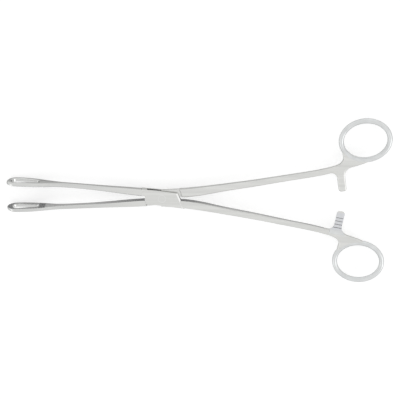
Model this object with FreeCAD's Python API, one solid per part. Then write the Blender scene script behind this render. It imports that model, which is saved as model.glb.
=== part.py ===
import FreeCAD, Part
import math
import os

# Sponge forceps with a box lock. All sizes are in millimetres and degrees.
# A half is drawn closed, with the pivot on the Z axis and its middle plane at z = 0, its jaw at -X
# and +Y and its handle at +X and -Y. The male half has the same jaw and handle, turned half a turn
# about the X axis. At the end the halves are swung apart to the rest opening and lifted, so that the
# origin is where the pivot axis meets the lower flat of the lock.

Vector = FreeCAD.Vector
X_AXIS = Vector(1, 0, 0)
Y_AXIS = Vector(0, 1, 0)
Z_AXIS = Vector(0, 0, 1)
PIVOT = Vector(0, 0, 0)

# Angle between the halves as the instrument lies at rest
rest_opening = 8.8

# Box of the lock, on the female half
lock_thickness = 5.2
lock_half_width = 4.85
lock_proud = 0.15
lock_edge_round = 0.5
box_root_length = 2.5
box_root_bevel_run = 0.7
box_root_bevel_drop = 0.35
cheek_end_length = 1.1
cheek_end_lean = 27.0
cheek_end_taper = 0.35
cheek_bevel_run = 1.0
cheek_bevel_drop = 0.9
slot_height = 2.0

# Seats and shoulders where the male half passes the box
seat_radius = 11.0
seat_clearance = 0.1
slide_clearance = 0.05
tongue_inset = 0.25
tongue_half_width = lock_half_width - tongue_inset
box_root_reach = seat_radius + box_root_length
cheek_end_reach = seat_radius + cheek_end_length
shoulder_gap = 0.5
shoulder_radius = cheek_end_reach + shoulder_gap
shoulder_ramp_run = 0.6
centre_clearance = 0.1
# How far the shanks' flats lie under the flats of the box
shank_inset = 0.15

# Pivot pin, swaged into countersinks and ground flush
pin_radius = 2.0
pin_head_radius = 2.7
pin_head_depth = 0.6
pin_clearance = 0.03

# Jaw shank: edges seen from above, thickness seen from the side
jaw_reach = 100.4
jaw_root_inner = 0.6
jaw_waist_inner = 1.3
jaw_waist_outer = 4.3
jaw_neck_to_tip = 39.4
jaw_neck_reach = jaw_reach - jaw_neck_to_tip
jaw_waist_reach = (box_root_reach + jaw_neck_reach) / 2
jaw_neck_inner = 1.38
jaw_neck_outer = 4.0
jaw_root_thickness = lock_thickness - 2 * shank_inset
jaw_neck_thickness = 3.8
jaw_outer_round = 0.9
jaw_inner_round = 0.35

# Loop at the end of the jaw, with its lengths measured from the tip
loop_length = 30.4
loop_root_reach = jaw_reach - loop_length
loop_half_width = 6.2
loop_root_inner = 1.25
loop_thickness = 2.4
loop_tip_thickness = 1.9
tip_inner = 0.1
rim_width = 2.1
rim_tip_width = 3.0
window_to_tip = 20.6
window_root_reach = jaw_reach - window_to_tip
window_root_radius = 2.2
window_outer_round = 0.7
window_inner_round = 0.25
# How the flank swells from neck to loop: share of the run along the jaw, and share of the swell
loop_flare = ((0.2, 0.12), (0.55, 0.72), (0.82, 0.97), (1.0, 1.0))

# Cross grooves on the gripping face of the loop
groove_pitch = 1.0
groove_depth = 0.3
groove_row_length = 24.9

# Handle shank
handle_root_reach = 16.0
handle_root_dip = 1.3
handle_root_width = 5.3
handle_middle_width = 3.95
handle_end_reach = 107.0
handle_end_width = 3.7
handle_end_drop = 12.4
handle_bow = 0.75
handle_root_thickness = lock_thickness - 2 * shank_inset
handle_end_thickness = 3.75
handle_round = 1.1

# Finger ring, and the web that joins it to the shank between two angles from its long axis
ring_hole_half_length = 13.9
ring_hole_half_width = 11.35
ring_tilt = -3.0
ring_band = 3.2
ring_setback = 10.95
ring_drop = 4.55
ring_centre_x = handle_end_reach + ring_setback + ring_hole_half_length
ring_centre_y = -handle_end_drop - ring_drop - ring_band - ring_hole_half_width
ring_thickness = 4.0
web_top_angle = 90.0
web_top_end_angle = 80.0
web_notch_angle = 158.0
web_swell = 0.2
# How deep the web's edges run into the ring's band
web_depth_share = 0.25
# How the outer edge turns from shank to ring: shares of the run along the shank and across it
web_neck = ((0.46, 0.09), (0.76, 0.19), (1.03, 0.48), (1.01, 0.76))

# Ratchet arm
arm_setback = 8.1
arm_x = handle_end_reach + arm_setback
arm_lean = 5.4
arm_width = 5.2
arm_tip_y = 1.8
arm_tip_round = 1.8
arm_tip_bevel = 1.0
arm_shank_foot_round = 4.2
arm_ring_foot_round = 4.6
arm_face_clearance = 0.05
arm_ramp_rise = 1.1
arm_ramp_y = arm_ramp_rise - handle_end_drop
arm_ramp_run = 2.3
tooth_count = 4
tooth_pitch = 2.27
tooth_depth = 0.75
tooth_land = 0.35
first_tooth_rise = 8.75
first_tooth_y = arm_ramp_y + first_tooth_rise

# How far cutting shapes run past what they cut
over = 5.0
# Surfaces that only touch are cut with this much to spare
skin = 0.01
# Share of an edge's length that must lie along an axis for the edge to count as parallel to it
parallel_share = 0.9


def point(x, y, z=0.0):
    return Vector(x, y, z)


def line(start, end):
    return Part.LineSegment(start, end).toShape()


def arc(start, middle, end):
    return Part.Arc(start, middle, end).toShape()


def smooth(points):
    """One smooth edge through the points."""
    curve = Part.BSplineCurve()
    curve.interpolate(points)
    return curve.toShape()


def outline(points):
    """Straight edges from point to point and back to the first."""
    return [line(points[index - 1], points[index]) for index in range(len(points))]


def plate(edges, thickness):
    """The area inside the edges, made `thickness` thick with the edges in its middle plane."""
    face = Part.Face(Part.Wire(Part.__sortEdges__(list(edges))))
    face.translate(thickness * -0.5)
    return face.extrude(thickness)


def disc(radius, height):
    """A disc about the pivot, centred on the middle plane."""
    return Part.makeCylinder(radius, height, point(0, 0, -height / 2), Z_AXIS)


def spots_along(edge):
    first, last = edge.ParameterRange
    return [edge.valueAt(first + (last - first) * share) for share in (0.1, 0.5, 0.9)]


def rim_edges(solid, guides, axis):
    """Edges of a plate, on both its faces, that lie over the guide edges seen along the axis."""
    found = []
    for edge in solid.Edges:
        spots = spots_along(edge)
        if abs((spots[2] - spots[0]).dot(axis)) > parallel_share * (spots[2] - spots[0]).Length:
            continue
        flat = [Part.Vertex(spot - axis * spot.dot(axis)) for spot in spots]
        if any(max(vertex.distToShape(guide)[0] for vertex in flat) < skin for guide in guides):
            found.append(edge)
    return found


def grip_y(x):
    """Height of the gripping face, which runs straight from the loop's root to its tip."""
    share = (x + jaw_reach) / (jaw_reach - loop_root_reach)
    return tip_inner + (loop_root_inner - tip_inner) * share


def jaw_side_profile():
    """Edges of jaw shank and loop seen along Z: inner, gripping face, outer and the two ends."""
    root = over - seat_radius
    past = -jaw_reach - over
    waist = -jaw_waist_reach
    neck = -jaw_neck_reach
    blunt = loop_half_width - jaw_reach
    root_outer = lock_half_width - lock_proud
    neck_outer = point(neck, jaw_neck_outer)
    loop_outer = point(-window_root_reach, grip_y(-window_root_reach) + loop_thickness)
    inner = smooth([
        point(root, jaw_root_inner),
        point(-box_root_reach, jaw_root_inner),
        point(waist, jaw_waist_inner),
        point(neck, jaw_neck_inner),
        point(-loop_root_reach, loop_root_inner),
    ])
    outer = smooth([
        point(root, root_outer),
        point(-box_root_reach, root_outer),
        point(waist, jaw_waist_outer),
        neck_outer,
        (neck_outer + loop_outer) * 0.5,
        loop_outer,
        point(blunt, grip_y(blunt) + loop_thickness),
        point(-jaw_reach, tip_inner + loop_tip_thickness),
        point(past, grip_y(past) + loop_tip_thickness / 2),
    ])
    grip = line(point(-loop_root_reach, loop_root_inner), point(past, grip_y(past)))
    root_end = line(point(root, jaw_root_inner), point(root, root_outer))
    tip_end = line(point(past, grip_y(past)), point(past, grip_y(past) + loop_tip_thickness / 2))
    return inner, grip, outer, root_end, tip_end


def jaw_plan_profile():
    """Edges of jaw shank and loop seen along Y: two flanks, a round tip and the end in the lock."""
    root = over - seat_radius
    blunt = loop_half_width - jaw_reach
    flank_run = jaw_neck_reach + blunt
    neck_half = jaw_neck_thickness / 2
    swell = loop_half_width - neck_half
    root_half = jaw_root_thickness / 2

    def flank(side):
        spots = [
            point(root, 0, side * root_half),
            point(-jaw_waist_reach, 0, side * (root_half + neck_half) / 2),
            point(-jaw_neck_reach, 0, side * neck_half),
        ]
        for run_share, swell_share in loop_flare:
            half_width = neck_half + swell * swell_share
            spots.append(point(-jaw_neck_reach + flank_run * run_share, 0, side * half_width))
        return smooth(spots)

    tip = arc(point(blunt, 0, loop_half_width), point(-jaw_reach, 0, 0), point(blunt, 0, -loop_half_width))
    root_end = line(point(root, 0, -root_half), point(root, 0, root_half))
    return flank(1), tip, flank(-1), root_end


def window_profile():
    """Edges of the loop's window: two arcs of unlike radius and the two lines that touch both."""
    tip_radius = loop_half_width - rim_width
    tip_x = -jaw_reach + rim_tip_width + tip_radius
    root_x = -window_root_reach - window_root_radius
    lean = math.asin((tip_radius - window_root_radius) / (root_x - tip_x))

    def touch(x, radius, side):
        return point(x + radius * math.sin(lean), 0, side * radius * math.cos(lean))

    tip_front, tip_back = (touch(tip_x, tip_radius, side) for side in (1, -1))
    root_front, root_back = (touch(root_x, window_root_radius, side) for side in (1, -1))
    return [
        arc(tip_front, point(tip_x - tip_radius, 0), tip_back),
        arc(root_front, point(-window_root_reach, 0), root_back),
        line(tip_front, root_front),
        line(tip_back, root_back),
    ]


def grip_grooves():
    """V grooves straight across the gripping face, from the tip back to the root of the loop."""
    grooves = []
    half = groove_pitch / 2
    across = Z_AXIS * (2 * loop_half_width + over)
    for index in range(int(groove_row_length / groove_pitch)):
        x = (index + 0.5) * groove_pitch - jaw_reach
        corners = [
            point(x - half, grip_y(x - half) - skin),
            point(x, grip_y(x) + groove_depth),
            point(x + half, grip_y(x + half) - skin),
            point(x, grip_y(x) - over),
        ]
        grooves.append(plate(outline(corners), across))
    return grooves


def make_jaw():
    """Jaw shank and loop: what its two profiles have in common, then rounded, windowed and grooved."""
    side_edges = jaw_side_profile()
    side = plate(side_edges, Z_AXIS * (4 * loop_half_width))
    plan = plate(jaw_plan_profile(), Y_AXIS * (4 * lock_half_width))
    jaw = side.common(plan)
    jaw = jaw.makeFillet(jaw_outer_round, rim_edges(jaw, [side_edges[2]], Z_AXIS))
    jaw = jaw.makeFillet(jaw_inner_round, rim_edges(jaw, side_edges[:2], Z_AXIS))
    window_edges = window_profile()
    jaw = jaw.cut(plate(window_edges, Y_AXIS * (4 * lock_half_width)))
    for radius, outer_side in ((window_outer_round, True), (window_inner_round, False)):
        rims = []
        for edge in rim_edges(jaw, window_edges, Y_AXIS):
            centre = edge.CenterOfMass
            if (centre.y > grip_y(centre.x) + loop_tip_thickness / 2) == outer_side:
                rims.append(edge)
        jaw = jaw.makeFillet(radius, rims)
    return jaw.cut(grip_grooves())


def handle_share(x):
    return (x - handle_root_reach) / (handle_end_reach - handle_root_reach)


def handle_centre(x):
    """Middle line of the handle shank: a straight fall with a slight bow."""
    share = handle_share(x)
    start = -centre_clearance - handle_root_width / 2
    return start - (handle_end_drop + start) * share + 4 * handle_bow * share * (1 - share)


def handle_width(x):
    """Width of the shank: the parabola through its root, middle and end widths."""
    share = handle_share(x)
    root = handle_root_width * 2 * (share - 0.5) * (share - 1)
    middle = handle_middle_width * 4 * share * (1 - share)
    end = handle_end_width * 2 * share * (share - 0.5)
    return root + middle + end


def ring_ellipse(offset):
    """Ellipse that runs `offset` outside the edge of the ring's hole."""
    turn = math.radians(ring_tilt)
    centre = point(ring_centre_x, ring_centre_y)
    along = point(math.cos(turn), math.sin(turn)) * (ring_hole_half_length + offset)
    across = point(-math.sin(turn), math.cos(turn)) * (ring_hole_half_width + offset)
    return Part.Ellipse(centre + along, centre + across, centre)


def make_ring():
    """Band of oval section swept round the ring's ellipse."""
    path = ring_ellipse(ring_band / 2).toShape()
    start = path.valueAt(path.FirstParameter)
    outward = (start - point(ring_centre_x, ring_centre_y)).normalize()
    section = Part.Ellipse(start + Z_AXIS * (ring_thickness / 2), start + outward * (ring_band / 2), start)
    return Part.Wire([path]).makePipeShell([Part.Wire([section.toShape()])], True, True)


def shank_outline():
    """Edges of handle shank and web seen along Z: the two long ones, then those inside lock and ring."""
    inner = [point(0, -centre_clearance - handle_root_dip)]
    outer = [point(0, -centre_clearance - handle_root_width)]
    run = handle_end_reach - handle_root_reach
    for share in (0, 0.25, 0.5, 0.75, 1):
        x = handle_root_reach + run * share
        inner.append(point(x, handle_centre(x) + handle_width(x) / 2))
        outer.append(point(x, handle_centre(x) - handle_width(x) / 2))
    band_middle = ring_ellipse(ring_band / 2)
    band_depth = ring_ellipse(ring_band * (1 - web_depth_share))
    top_angle = math.radians(web_top_end_angle)
    notch_angle = math.radians(web_notch_angle)
    ring_top = ring_ellipse(ring_band).value(math.radians(web_top_angle))
    inner.append((inner[-1] + ring_top) * 0.5 + Y_AXIS * web_swell)
    inner.append(ring_top)
    inner.append(band_depth.value(top_angle))
    start = outer[-1]
    turn = band_depth.value(notch_angle) - start
    for along_share, across_share in web_neck:
        outer.append(start + point(turn.x * along_share, turn.y * across_share))
    outer.append(start + turn)
    return [
        smooth(inner),
        smooth(outer),
        line(inner[0], outer[0]),
        line(inner[-1], band_middle.value(top_angle)),
        line(outer[-1], band_middle.value(notch_angle)),
        Part.ArcOfEllipse(band_middle, top_angle, notch_angle).toShape(),
    ]


def arm_ahead():
    """Direction from the foot of the ratchet arm to its tip."""
    lean = math.radians(arm_lean)
    return point(math.sin(lean), math.cos(lean))


def arm_aside():
    """Direction across the ratchet arm, towards the ring."""
    return point(arm_ahead().y, -arm_ahead().x)


def arm_spot(y):
    """Point on the middle line of the ratchet arm."""
    return point(arm_x, handle_centre(arm_x)) + arm_ahead() * ((y - handle_centre(arm_x)) / arm_ahead().y)


def arm_outline():
    """Straight arm with rounded corners at its tip, from the middle of the shank outwards."""
    ahead = arm_ahead()
    foot = arm_spot(handle_centre(arm_x))
    tip = arm_spot(arm_tip_y)
    corner_share = 1 - math.sqrt(0.5)

    def side(aside):
        """Foot, start, middle and end of the corner on one side."""
        edge = tip + aside * (arm_width / 2)
        inward = aside * -arm_tip_round
        back = ahead * -arm_tip_round
        middle = edge + (inward + back) * corner_share
        return foot + aside * (arm_width / 2), edge + back, middle, edge + inward

    left = side(arm_aside() * -1)
    right = side(arm_aside())
    return [
        line(left[0], left[1]),
        arc(*left[1:]),
        line(left[3], right[3]),
        arc(*right[1:]),
        line(right[1], right[0]),
        line(right[0], left[0]),
    ]


def thickness_wedge():
    """Long wedge that gives the handle its thickness from the lock to the ring."""
    root_half = handle_root_thickness / 2
    fall = root_half - handle_end_thickness / 2
    start, end = (root_half - fall * handle_share(x) for x in (0, ring_centre_x))
    corners = [
        point(0, 0, -start),
        point(ring_centre_x, 0, -end),
        point(ring_centre_x, 0, end),
        point(0, 0, start),
    ]
    return plate(outline(corners), Y_AXIS * (4 * abs(ring_centre_y)))


def round_arm_foot(blank, side, radius):
    """Rounds the inside corner between shank and arm on the side that `side` points to."""
    corners = []
    for edge in blank.Edges:
        spot = edge.CenterOfMass - arm_spot(handle_centre(arm_x))
        upright = abs(edge.tangentAt(edge.FirstParameter).dot(Z_AXIS)) > parallel_share
        beside = 0 < spot.dot(side) < arm_width and abs(spot.dot(arm_ahead())) < arm_width
        if upright and beside:
            corners.append(edge)
    return blank.makeFillet(radius, corners)


def arm_prism(profile):
    """Bar across the arm; the profile gives distance along the arm from the ramp, and height."""
    foot = arm_spot(arm_ramp_y)
    corners = [foot + arm_ahead() * run + Z_AXIS * height for run, height in profile]
    return plate(outline(corners), arm_aside() * (2 * arm_width))


def ratchet_cutters():
    """What halves the arm's thickness, bevels its tip and leaves its saw teeth."""
    face = -arm_face_clearance
    top = handle_root_thickness
    slant = 1 / arm_ahead().y
    tip = (arm_tip_y - arm_ramp_y) * slant
    past = tip + over
    ramp_top = -arm_ramp_run * top / (handle_end_thickness / 2)
    tip_bevel = [(tip - arm_tip_bevel, face), (past, face), (past, face - past), (tip, face - arm_tip_bevel)]
    cutters = [
        arm_prism([(0, face), (past, face), (past, top), (ramp_top, top)]),
        arm_prism(tip_bevel),
    ]
    for index in range(tooth_count):
        flank = (first_tooth_y - arm_ramp_y) * slant - index * tooth_pitch
        toe = flank - tooth_pitch + tooth_land
        gullet = [(flank, face + skin), (flank, face - tooth_depth), (toe, face), (toe, face + skin)]
        cutters.append(arm_prism(gullet))
    return cutters


def make_handle():
    """Handle shank, web and ratchet arm, with its edges rounded and its teeth cut."""
    tall = Z_AXIS * (4 * lock_thickness)
    shank_edges = shank_outline()
    arm_edges = arm_outline()
    blank = plate(shank_edges, tall).fuse(plate(arm_edges, tall)).removeSplitter()
    blank = round_arm_foot(blank, arm_aside() * -1, arm_shank_foot_round)
    blank = round_arm_foot(blank, arm_aside(), arm_ring_foot_round)
    blank = blank.common(thickness_wedge())
    hidden = [edge.CenterOfMass for edge in rim_edges(blank, shank_edges[2:], Z_AXIS)]
    rims = []
    for edge in blank.Edges:
        spots = spots_along(edge)
        upright = abs((spots[2] - spots[0]).dot(Z_AXIS)) > parallel_share * (spots[2] - spots[0]).Length
        if not upright and all((edge.CenterOfMass - spot).Length > skin for spot in hidden):
            rims.append(edge)
    return blank.makeFillet(handle_round, rims).cut(ratchet_cutters())


def seat_point(y):
    """Point on the seat arc about the pivot, on the jaw side."""
    return point(-math.sqrt(seat_radius ** 2 - y ** 2), y)


def cheek_end_point(y):
    """Point on the slanted end of the cheeks, on the handle side."""
    return point(cheek_end_reach - y * math.tan(math.radians(cheek_end_lean)), y)


def bevel_bar(start, end, run, drop):
    """Bar that bevels the box's upper edge from start to end, with the metal on the left side."""
    along = (end - start).normalize()
    inward = along.cross(Z_AXIS) * -1
    top = Z_AXIS * (lock_thickness / 2)
    middle = (start + end) * 0.5
    corners = [
        middle + top + inward * run,
        middle + top - Z_AXIS * drop,
        middle + top - Z_AXIS * drop - inward * over,
        middle + top + Z_AXIS * over - inward * over,
        middle + top + Z_AXIS * over + inward * run,
    ]
    return plate(outline(corners), along * ((end - start).Length + 2 * over))


def both_faces(shape):
    """The shape and its copy on the other face of the lock."""
    return [shape, shape.mirror(PIVOT, Z_AXIS)]


def make_box():
    """Solid box of the lock: two long edges, a slanted end with a bevel and the round seat."""
    upper_edge = lock_half_width
    lower_edge = -lock_half_width
    jaw_side_y = jaw_root_inner + lock_proud
    handle_outer = -centre_clearance - handle_root_width - lock_proud
    root_upper = point(-box_root_reach, upper_edge)
    root_lower = point(-box_root_reach, jaw_side_y)
    cheek_top = cheek_end_point(upper_edge - cheek_end_taper)
    cheek_bottom = cheek_end_point(handle_outer)
    top = smooth([root_upper, point(0, upper_edge), cheek_top])
    bottom = smooth([cheek_bottom, point(0, lower_edge), seat_point(lower_edge)])
    seat = arc(seat_point(lower_edge), seat_point(lower_edge / 2), seat_point(jaw_side_y))
    edges = [
        top,
        line(cheek_top, cheek_bottom),
        bottom,
        seat,
        line(seat_point(jaw_side_y), root_lower),
        line(root_lower, root_upper),
    ]
    block = plate(edges, Z_AXIS * lock_thickness)
    block = block.makeFillet(lock_edge_round, rim_edges(block, [top, bottom], Z_AXIS))
    bars = both_faces(bevel_bar(cheek_bottom, cheek_top, cheek_bevel_run, cheek_bevel_drop))
    bars += both_faces(bevel_bar(root_upper, root_lower, box_root_bevel_run, box_root_bevel_drop))
    return block.cut(bars)


def make_slot():
    """Room for the male half's tongue: a disc about the pivot, open beyond it on the handle side."""
    room = disc(seat_radius + 2 * seat_clearance, slot_height)
    reach = shoulder_radius + over
    free_side = Part.makeBox(reach, reach, slot_height, point(0, -1.5 * centre_clearance, -slot_height / 2))
    return room.fuse(free_side)


def make_pin():
    """Rivet through both cheeks and the tongue, with a cone head at each end."""
    shaft = Part.makeCylinder(pin_radius, lock_thickness, point(0, 0, -lock_thickness / 2), Z_AXIS)
    inside = point(0, 0, lock_thickness / 2 - pin_head_depth)
    heads = both_faces(Part.makeCone(pin_radius, pin_head_radius, pin_head_depth, inside, Z_AXIS))
    return shaft.fuse(heads).removeSplitter()


def make_tongue(jaw, handle):
    """Thin middle of the male half, as wide as the box lets it turn."""
    height = slot_height - 2 * slide_clearance
    core = disc(seat_radius + seat_clearance, height)
    corner = point(-2 * seat_radius, -tongue_half_width, -height / 2)
    band = Part.makeBox(4 * seat_radius, 2 * tongue_half_width, height, corner)
    layer = disc(2 * shoulder_radius, height)
    return [core.common(band), jaw.common(layer), handle.common(layer)]


def make_shoulder_room():
    """What is taken off the male handle about the pivot, ending in a short ramp."""
    low = slot_height / 2 - slide_clearance
    high = lock_thickness
    ramp_end = shoulder_radius + shoulder_ramp_run * (high - low) / (handle_root_thickness / 2 - low)
    corners = [
        point(0, 0, -high),
        point(ramp_end, 0, -high),
        point(shoulder_radius, 0, -low),
        point(shoulder_radius, 0, low),
        point(ramp_end, 0, high),
        point(0, 0, high),
    ]
    face = Part.Face(Part.Wire(outline(corners)))
    return face.revolve(PIVOT, Z_AXIS, 360)


def make_female_half(jaw, handle, ring, pin):
    half = make_box().fuse([jaw, handle, ring])
    return half.cut([make_slot(), pin]).removeSplitter()


def make_male_half(jaw, handle, ring):
    seat = disc(seat_radius + seat_clearance, 2 * lock_thickness)
    bore = disc(pin_radius + pin_clearance, 2 * lock_thickness)
    outer_jaw = jaw.cut(seat)
    outer_handle = handle.cut(make_shoulder_room())
    half = outer_jaw.fuse([outer_handle, ring] + make_tongue(jaw, handle))
    half = half.cut(bore).removeSplitter()
    half.rotate(PIVOT, X_AXIS, 180)
    return half


def placed(shape, swing):
    """Swings a closed half to its place at rest and lifts the lock's lower flat to z = 0."""
    result = shape.copy()
    result.rotate(PIVOT, Z_AXIS, swing)
    result.translate(Z_AXIS * (lock_thickness / 2))
    return result


def main():
    jaw = make_jaw()
    handle = make_handle()
    ring = make_ring()
    pin = make_pin()
    nodes = {
        "female_half": placed(make_female_half(jaw, handle, ring, pin), -rest_opening / 2),
        "male_half": placed(make_male_half(jaw, handle, ring), rest_opening / 2),
        "pivot_pin": placed(pin, -rest_opening / 2),
    }
    os.makedirs("parts", exist_ok=True)
    for name, shape in nodes.items():
        shape.exportStep("parts/" + name + ".step")
        print(name, shape.isValid(), len(shape.Solids), round(shape.Volume, 2))


if __name__ == "__main__":
    main()
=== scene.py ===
import logging
import math
from dataclasses import dataclass, field
from enum import Enum
from typing import Callable, Sequence

import bmesh
import bpy
import numpy as np
from mathutils import Matrix, Vector


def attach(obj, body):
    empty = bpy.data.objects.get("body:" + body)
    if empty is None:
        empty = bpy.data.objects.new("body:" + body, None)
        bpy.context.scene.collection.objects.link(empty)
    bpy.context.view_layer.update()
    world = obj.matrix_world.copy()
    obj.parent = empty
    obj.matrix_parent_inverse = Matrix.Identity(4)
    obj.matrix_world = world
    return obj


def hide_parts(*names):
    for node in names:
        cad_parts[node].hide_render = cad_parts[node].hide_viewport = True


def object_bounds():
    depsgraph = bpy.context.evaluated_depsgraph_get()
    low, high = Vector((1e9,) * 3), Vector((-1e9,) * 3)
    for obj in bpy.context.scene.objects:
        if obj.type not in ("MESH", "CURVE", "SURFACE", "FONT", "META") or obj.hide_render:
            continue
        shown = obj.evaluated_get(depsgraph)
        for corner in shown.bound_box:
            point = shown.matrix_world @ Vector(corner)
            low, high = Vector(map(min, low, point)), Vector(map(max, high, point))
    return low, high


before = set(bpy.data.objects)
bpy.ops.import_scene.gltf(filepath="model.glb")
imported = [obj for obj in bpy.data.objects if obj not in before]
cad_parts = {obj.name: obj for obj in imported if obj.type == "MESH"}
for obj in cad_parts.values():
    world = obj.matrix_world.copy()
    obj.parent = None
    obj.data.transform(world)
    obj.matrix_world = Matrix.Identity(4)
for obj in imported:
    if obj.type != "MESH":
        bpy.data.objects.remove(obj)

CAD_BOX = [list(corner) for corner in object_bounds()]
MM = 0.001
LOG = logging.getLogger("sponge_forceps")
# Corners nearer than this are one: in millimetres while a piece is drawn, in metres once it is placed.
DRAWN_WELD = 1e-5
PLACED_WELD = 1e-7
# Upright share of a face's normal: above LEVEL the face is a flat, under UPRIGHT it is a wall.
LEVEL = 0.9999
UPRIGHT = 0.9

# The two halves are drawn closed, in millimetres, with the pivot on the Z axis and the middle plane
# at z = 0, as the solids are, and are then swung apart, lifted and brought to metres.


class Half(Enum):
    """The two forged halves, by the name of the body that each one rides on."""

    FEMALE = "female"
    MALE = "male"

    @property
    def node(self) -> str:
        """Name of the solid that this half stands for."""
        return self.value + "_half"


class Merge(Enum):
    """Ways to combine two solids."""

    JOIN = "UNION"
    CUT = "DIFFERENCE"


@dataclass(frozen=True)
class LockSizes:
    """Sizes of the box lock, in millimetres and degrees."""

    rest_opening: float = 8.8
    thickness: float = 5.2
    half_width: float = 4.85
    proud: float = 0.15
    edge_round: float = 0.5
    root_reach: float = 13.5
    root_bevel_run: float = 0.7
    root_bevel_drop: float = 0.35
    end_reach: float = 12.1
    end_lean: float = 27.0
    end_taper: float = 0.35
    end_bevel_run: float = 1.0
    end_bevel_drop: float = 0.9
    slot_height: float = 2.0
    seat_radius: float = 11.0
    seat_clearance: float = 0.1
    slide_clearance: float = 0.05
    tongue_inset: float = 0.25
    shoulder_radius: float = 12.6
    shoulder_ramp_run: float = 0.6
    centre_clearance: float = 0.1
    pin_radius: float = 2.0
    pin_head_radius: float = 2.7
    pin_head_depth: float = 0.6
    pin_clearance: float = 0.03
    open_side_share: float = 1.5
    cutter_spare: float = 5.0

    @property
    def tongue_height(self) -> float:
        """Thickness of the male half where it passes through the box."""
        return self.slot_height - 2 * self.slide_clearance


@dataclass(frozen=True)
class JawSizes:
    """Sizes of a jaw shank and its loop, in millimetres."""

    reach: float = 100.4
    root: float = -6.0
    root_inner: float = 0.6
    root_outer: float = 4.7
    lock_reach: float = 13.5
    waist_reach: float = 37.25
    waist_inner: float = 1.3
    waist_outer: float = 4.3
    neck_reach: float = 61.0
    neck_inner: float = 1.38
    neck_outer: float = 4.0
    root_thickness: float = 4.9
    neck_thickness: float = 3.8
    outer_round: float = 0.9
    inner_round: float = 0.35
    loop_root_reach: float = 70.0
    loop_root_inner: float = 1.25
    loop_half_width: float = 6.2
    loop_thickness: float = 2.4
    tip_thickness: float = 1.9
    tip_inner: float = 0.1
    rim_width: float = 2.1
    rim_tip_width: float = 3.0
    window_reach: float = 79.8
    window_root_radius: float = 2.2
    window_outer_round: float = 0.7
    window_inner_round: float = 0.25
    flare: tuple[tuple[float, float], ...] = ((0.2, 0.12), (0.55, 0.72), (0.82, 0.97), (1.0, 1.0))
    groove_pitch: float = 1.0
    groove_depth: float = 0.3
    groove_land: float = 0.1
    groove_row: float = 24.9
    cutter_spare: float = 5.0


@dataclass(frozen=True)
class HandleSizes:
    """Sizes of a handle shank, its web and its ratchet arm, in millimetres and degrees."""

    root_reach: float = 16.0
    root_dip: float = 1.3
    root_width: float = 5.3
    middle_width: float = 3.95
    end_reach: float = 107.0
    end_width: float = 3.7
    end_drop: float = 12.4
    bow: float = 0.75
    root_thickness: float = 4.9
    end_thickness: float = 3.75
    edge_round: float = 1.1
    web_top_angle: float = 90.0
    web_top_end_angle: float = 80.0
    web_notch_angle: float = 158.0
    web_swell: float = 0.2
    web_depth_share: float = 0.25
    web_neck: tuple[tuple[float, float], ...] = ((0.46, 0.09), (0.76, 0.19), (1.03, 0.48), (1.01, 0.76))
    arm_x: float = 115.1
    arm_lean: float = 5.4
    arm_width: float = 5.2
    arm_tip_y: float = 1.8
    arm_tip_round: float = 1.8
    arm_tip_bevel: float = 1.0
    shank_foot_round: float = 4.2
    ring_foot_round: float = 4.6
    face_clearance: float = 0.05
    ramp_y: float = -11.3
    ramp_run: float = 2.3
    tooth_count: int = 4
    tooth_pitch: float = 2.27
    tooth_depth: float = 0.75
    tooth_land: float = 0.35
    first_tooth_y: float = -2.55
    tooth_spare: float = 0.01
    cutter_spare: float = 5.0


@dataclass(frozen=True)
class RingSizes:
    """Sizes of a finger ring, in millimetres and degrees."""

    centre_x: float = 131.85
    centre_y: float = -31.5
    hole_half_length: float = 13.9
    hole_half_width: float = 11.35
    tilt: float = -3.0
    band: float = 3.2
    thickness: float = 4.0


def spline_through(points: Sequence[tuple[float, float]], steps: int) -> np.ndarray:
    """Smooth curve through a few points.

    Args:
        points: The points, in order.
        steps: Number of equal steps along the curve.

    Returns:
        The curve's points, one row each.
    """
    knots = np.array(points, float)
    gaps = np.linalg.norm(np.diff(knots, axis=0), axis=1)
    reach = np.concatenate([[0.0], np.cumsum(gaps)])
    count = len(knots)
    system = np.eye(count)
    wanted = np.zeros((count, 2))
    for at in range(1, count - 1):
        system[at, at - 1:at + 2] = gaps[at - 1], 2 * (gaps[at - 1] + gaps[at]), gaps[at]
        wanted[at] = 6 * ((knots[at + 1] - knots[at]) / gaps[at] - (knots[at] - knots[at - 1]) / gaps[at - 1])
    bends = np.linalg.solve(system, wanted)
    spots = np.linspace(0.0, reach[-1], steps + 1)
    which = np.clip(np.searchsorted(reach, spots, side="right") - 1, 0, count - 2)
    span = gaps[which][:, None]
    ahead = (reach[which + 1] - spots)[:, None]
    behind = (spots - reach[which])[:, None]
    bent = (bends[which] * ahead ** 3 + bends[which + 1] * behind ** 3) / (6 * span)
    start = (knots[which] / span - bends[which] * span / 6) * ahead
    end = (knots[which + 1] / span - bends[which + 1] * span / 6) * behind
    return bent + start + end


def corner(start: np.ndarray, peak: np.ndarray, end: np.ndarray, steps: int = 10) -> np.ndarray:
    """Round that leads from one edge of a corner to the other.

    Args:
        start: Where the round leaves the first edge.
        peak: Where the two edges would meet.
        end: Where the round reaches the second edge.
        steps: Number of steps along the round.

    Returns:
        The round's points.
    """
    pull = 0.55
    first = start + (peak - start) * pull
    second = end + (peak - end) * pull
    share = np.linspace(0.0, 1.0, steps + 1)[:, None]
    rest = 1 - share
    return (rest ** 3 * start + 3 * rest ** 2 * share * first
            + 3 * rest * share ** 2 * second + share ** 3 * end)


def arc(centre: tuple[float, float], radius: float, first: float, last: float, steps: int) -> np.ndarray:
    """Points on an arc.

    Args:
        centre: Centre of the arc.
        radius: Its radius.
        first: Angle of the first point, in radians.
        last: Angle of the last point.
        steps: Number of steps between them.

    Returns:
        The arc's points.
    """
    angles = np.linspace(first, last, steps + 1)
    return np.array(centre) + radius * np.stack([np.cos(angles), np.sin(angles)], axis=1)


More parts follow.
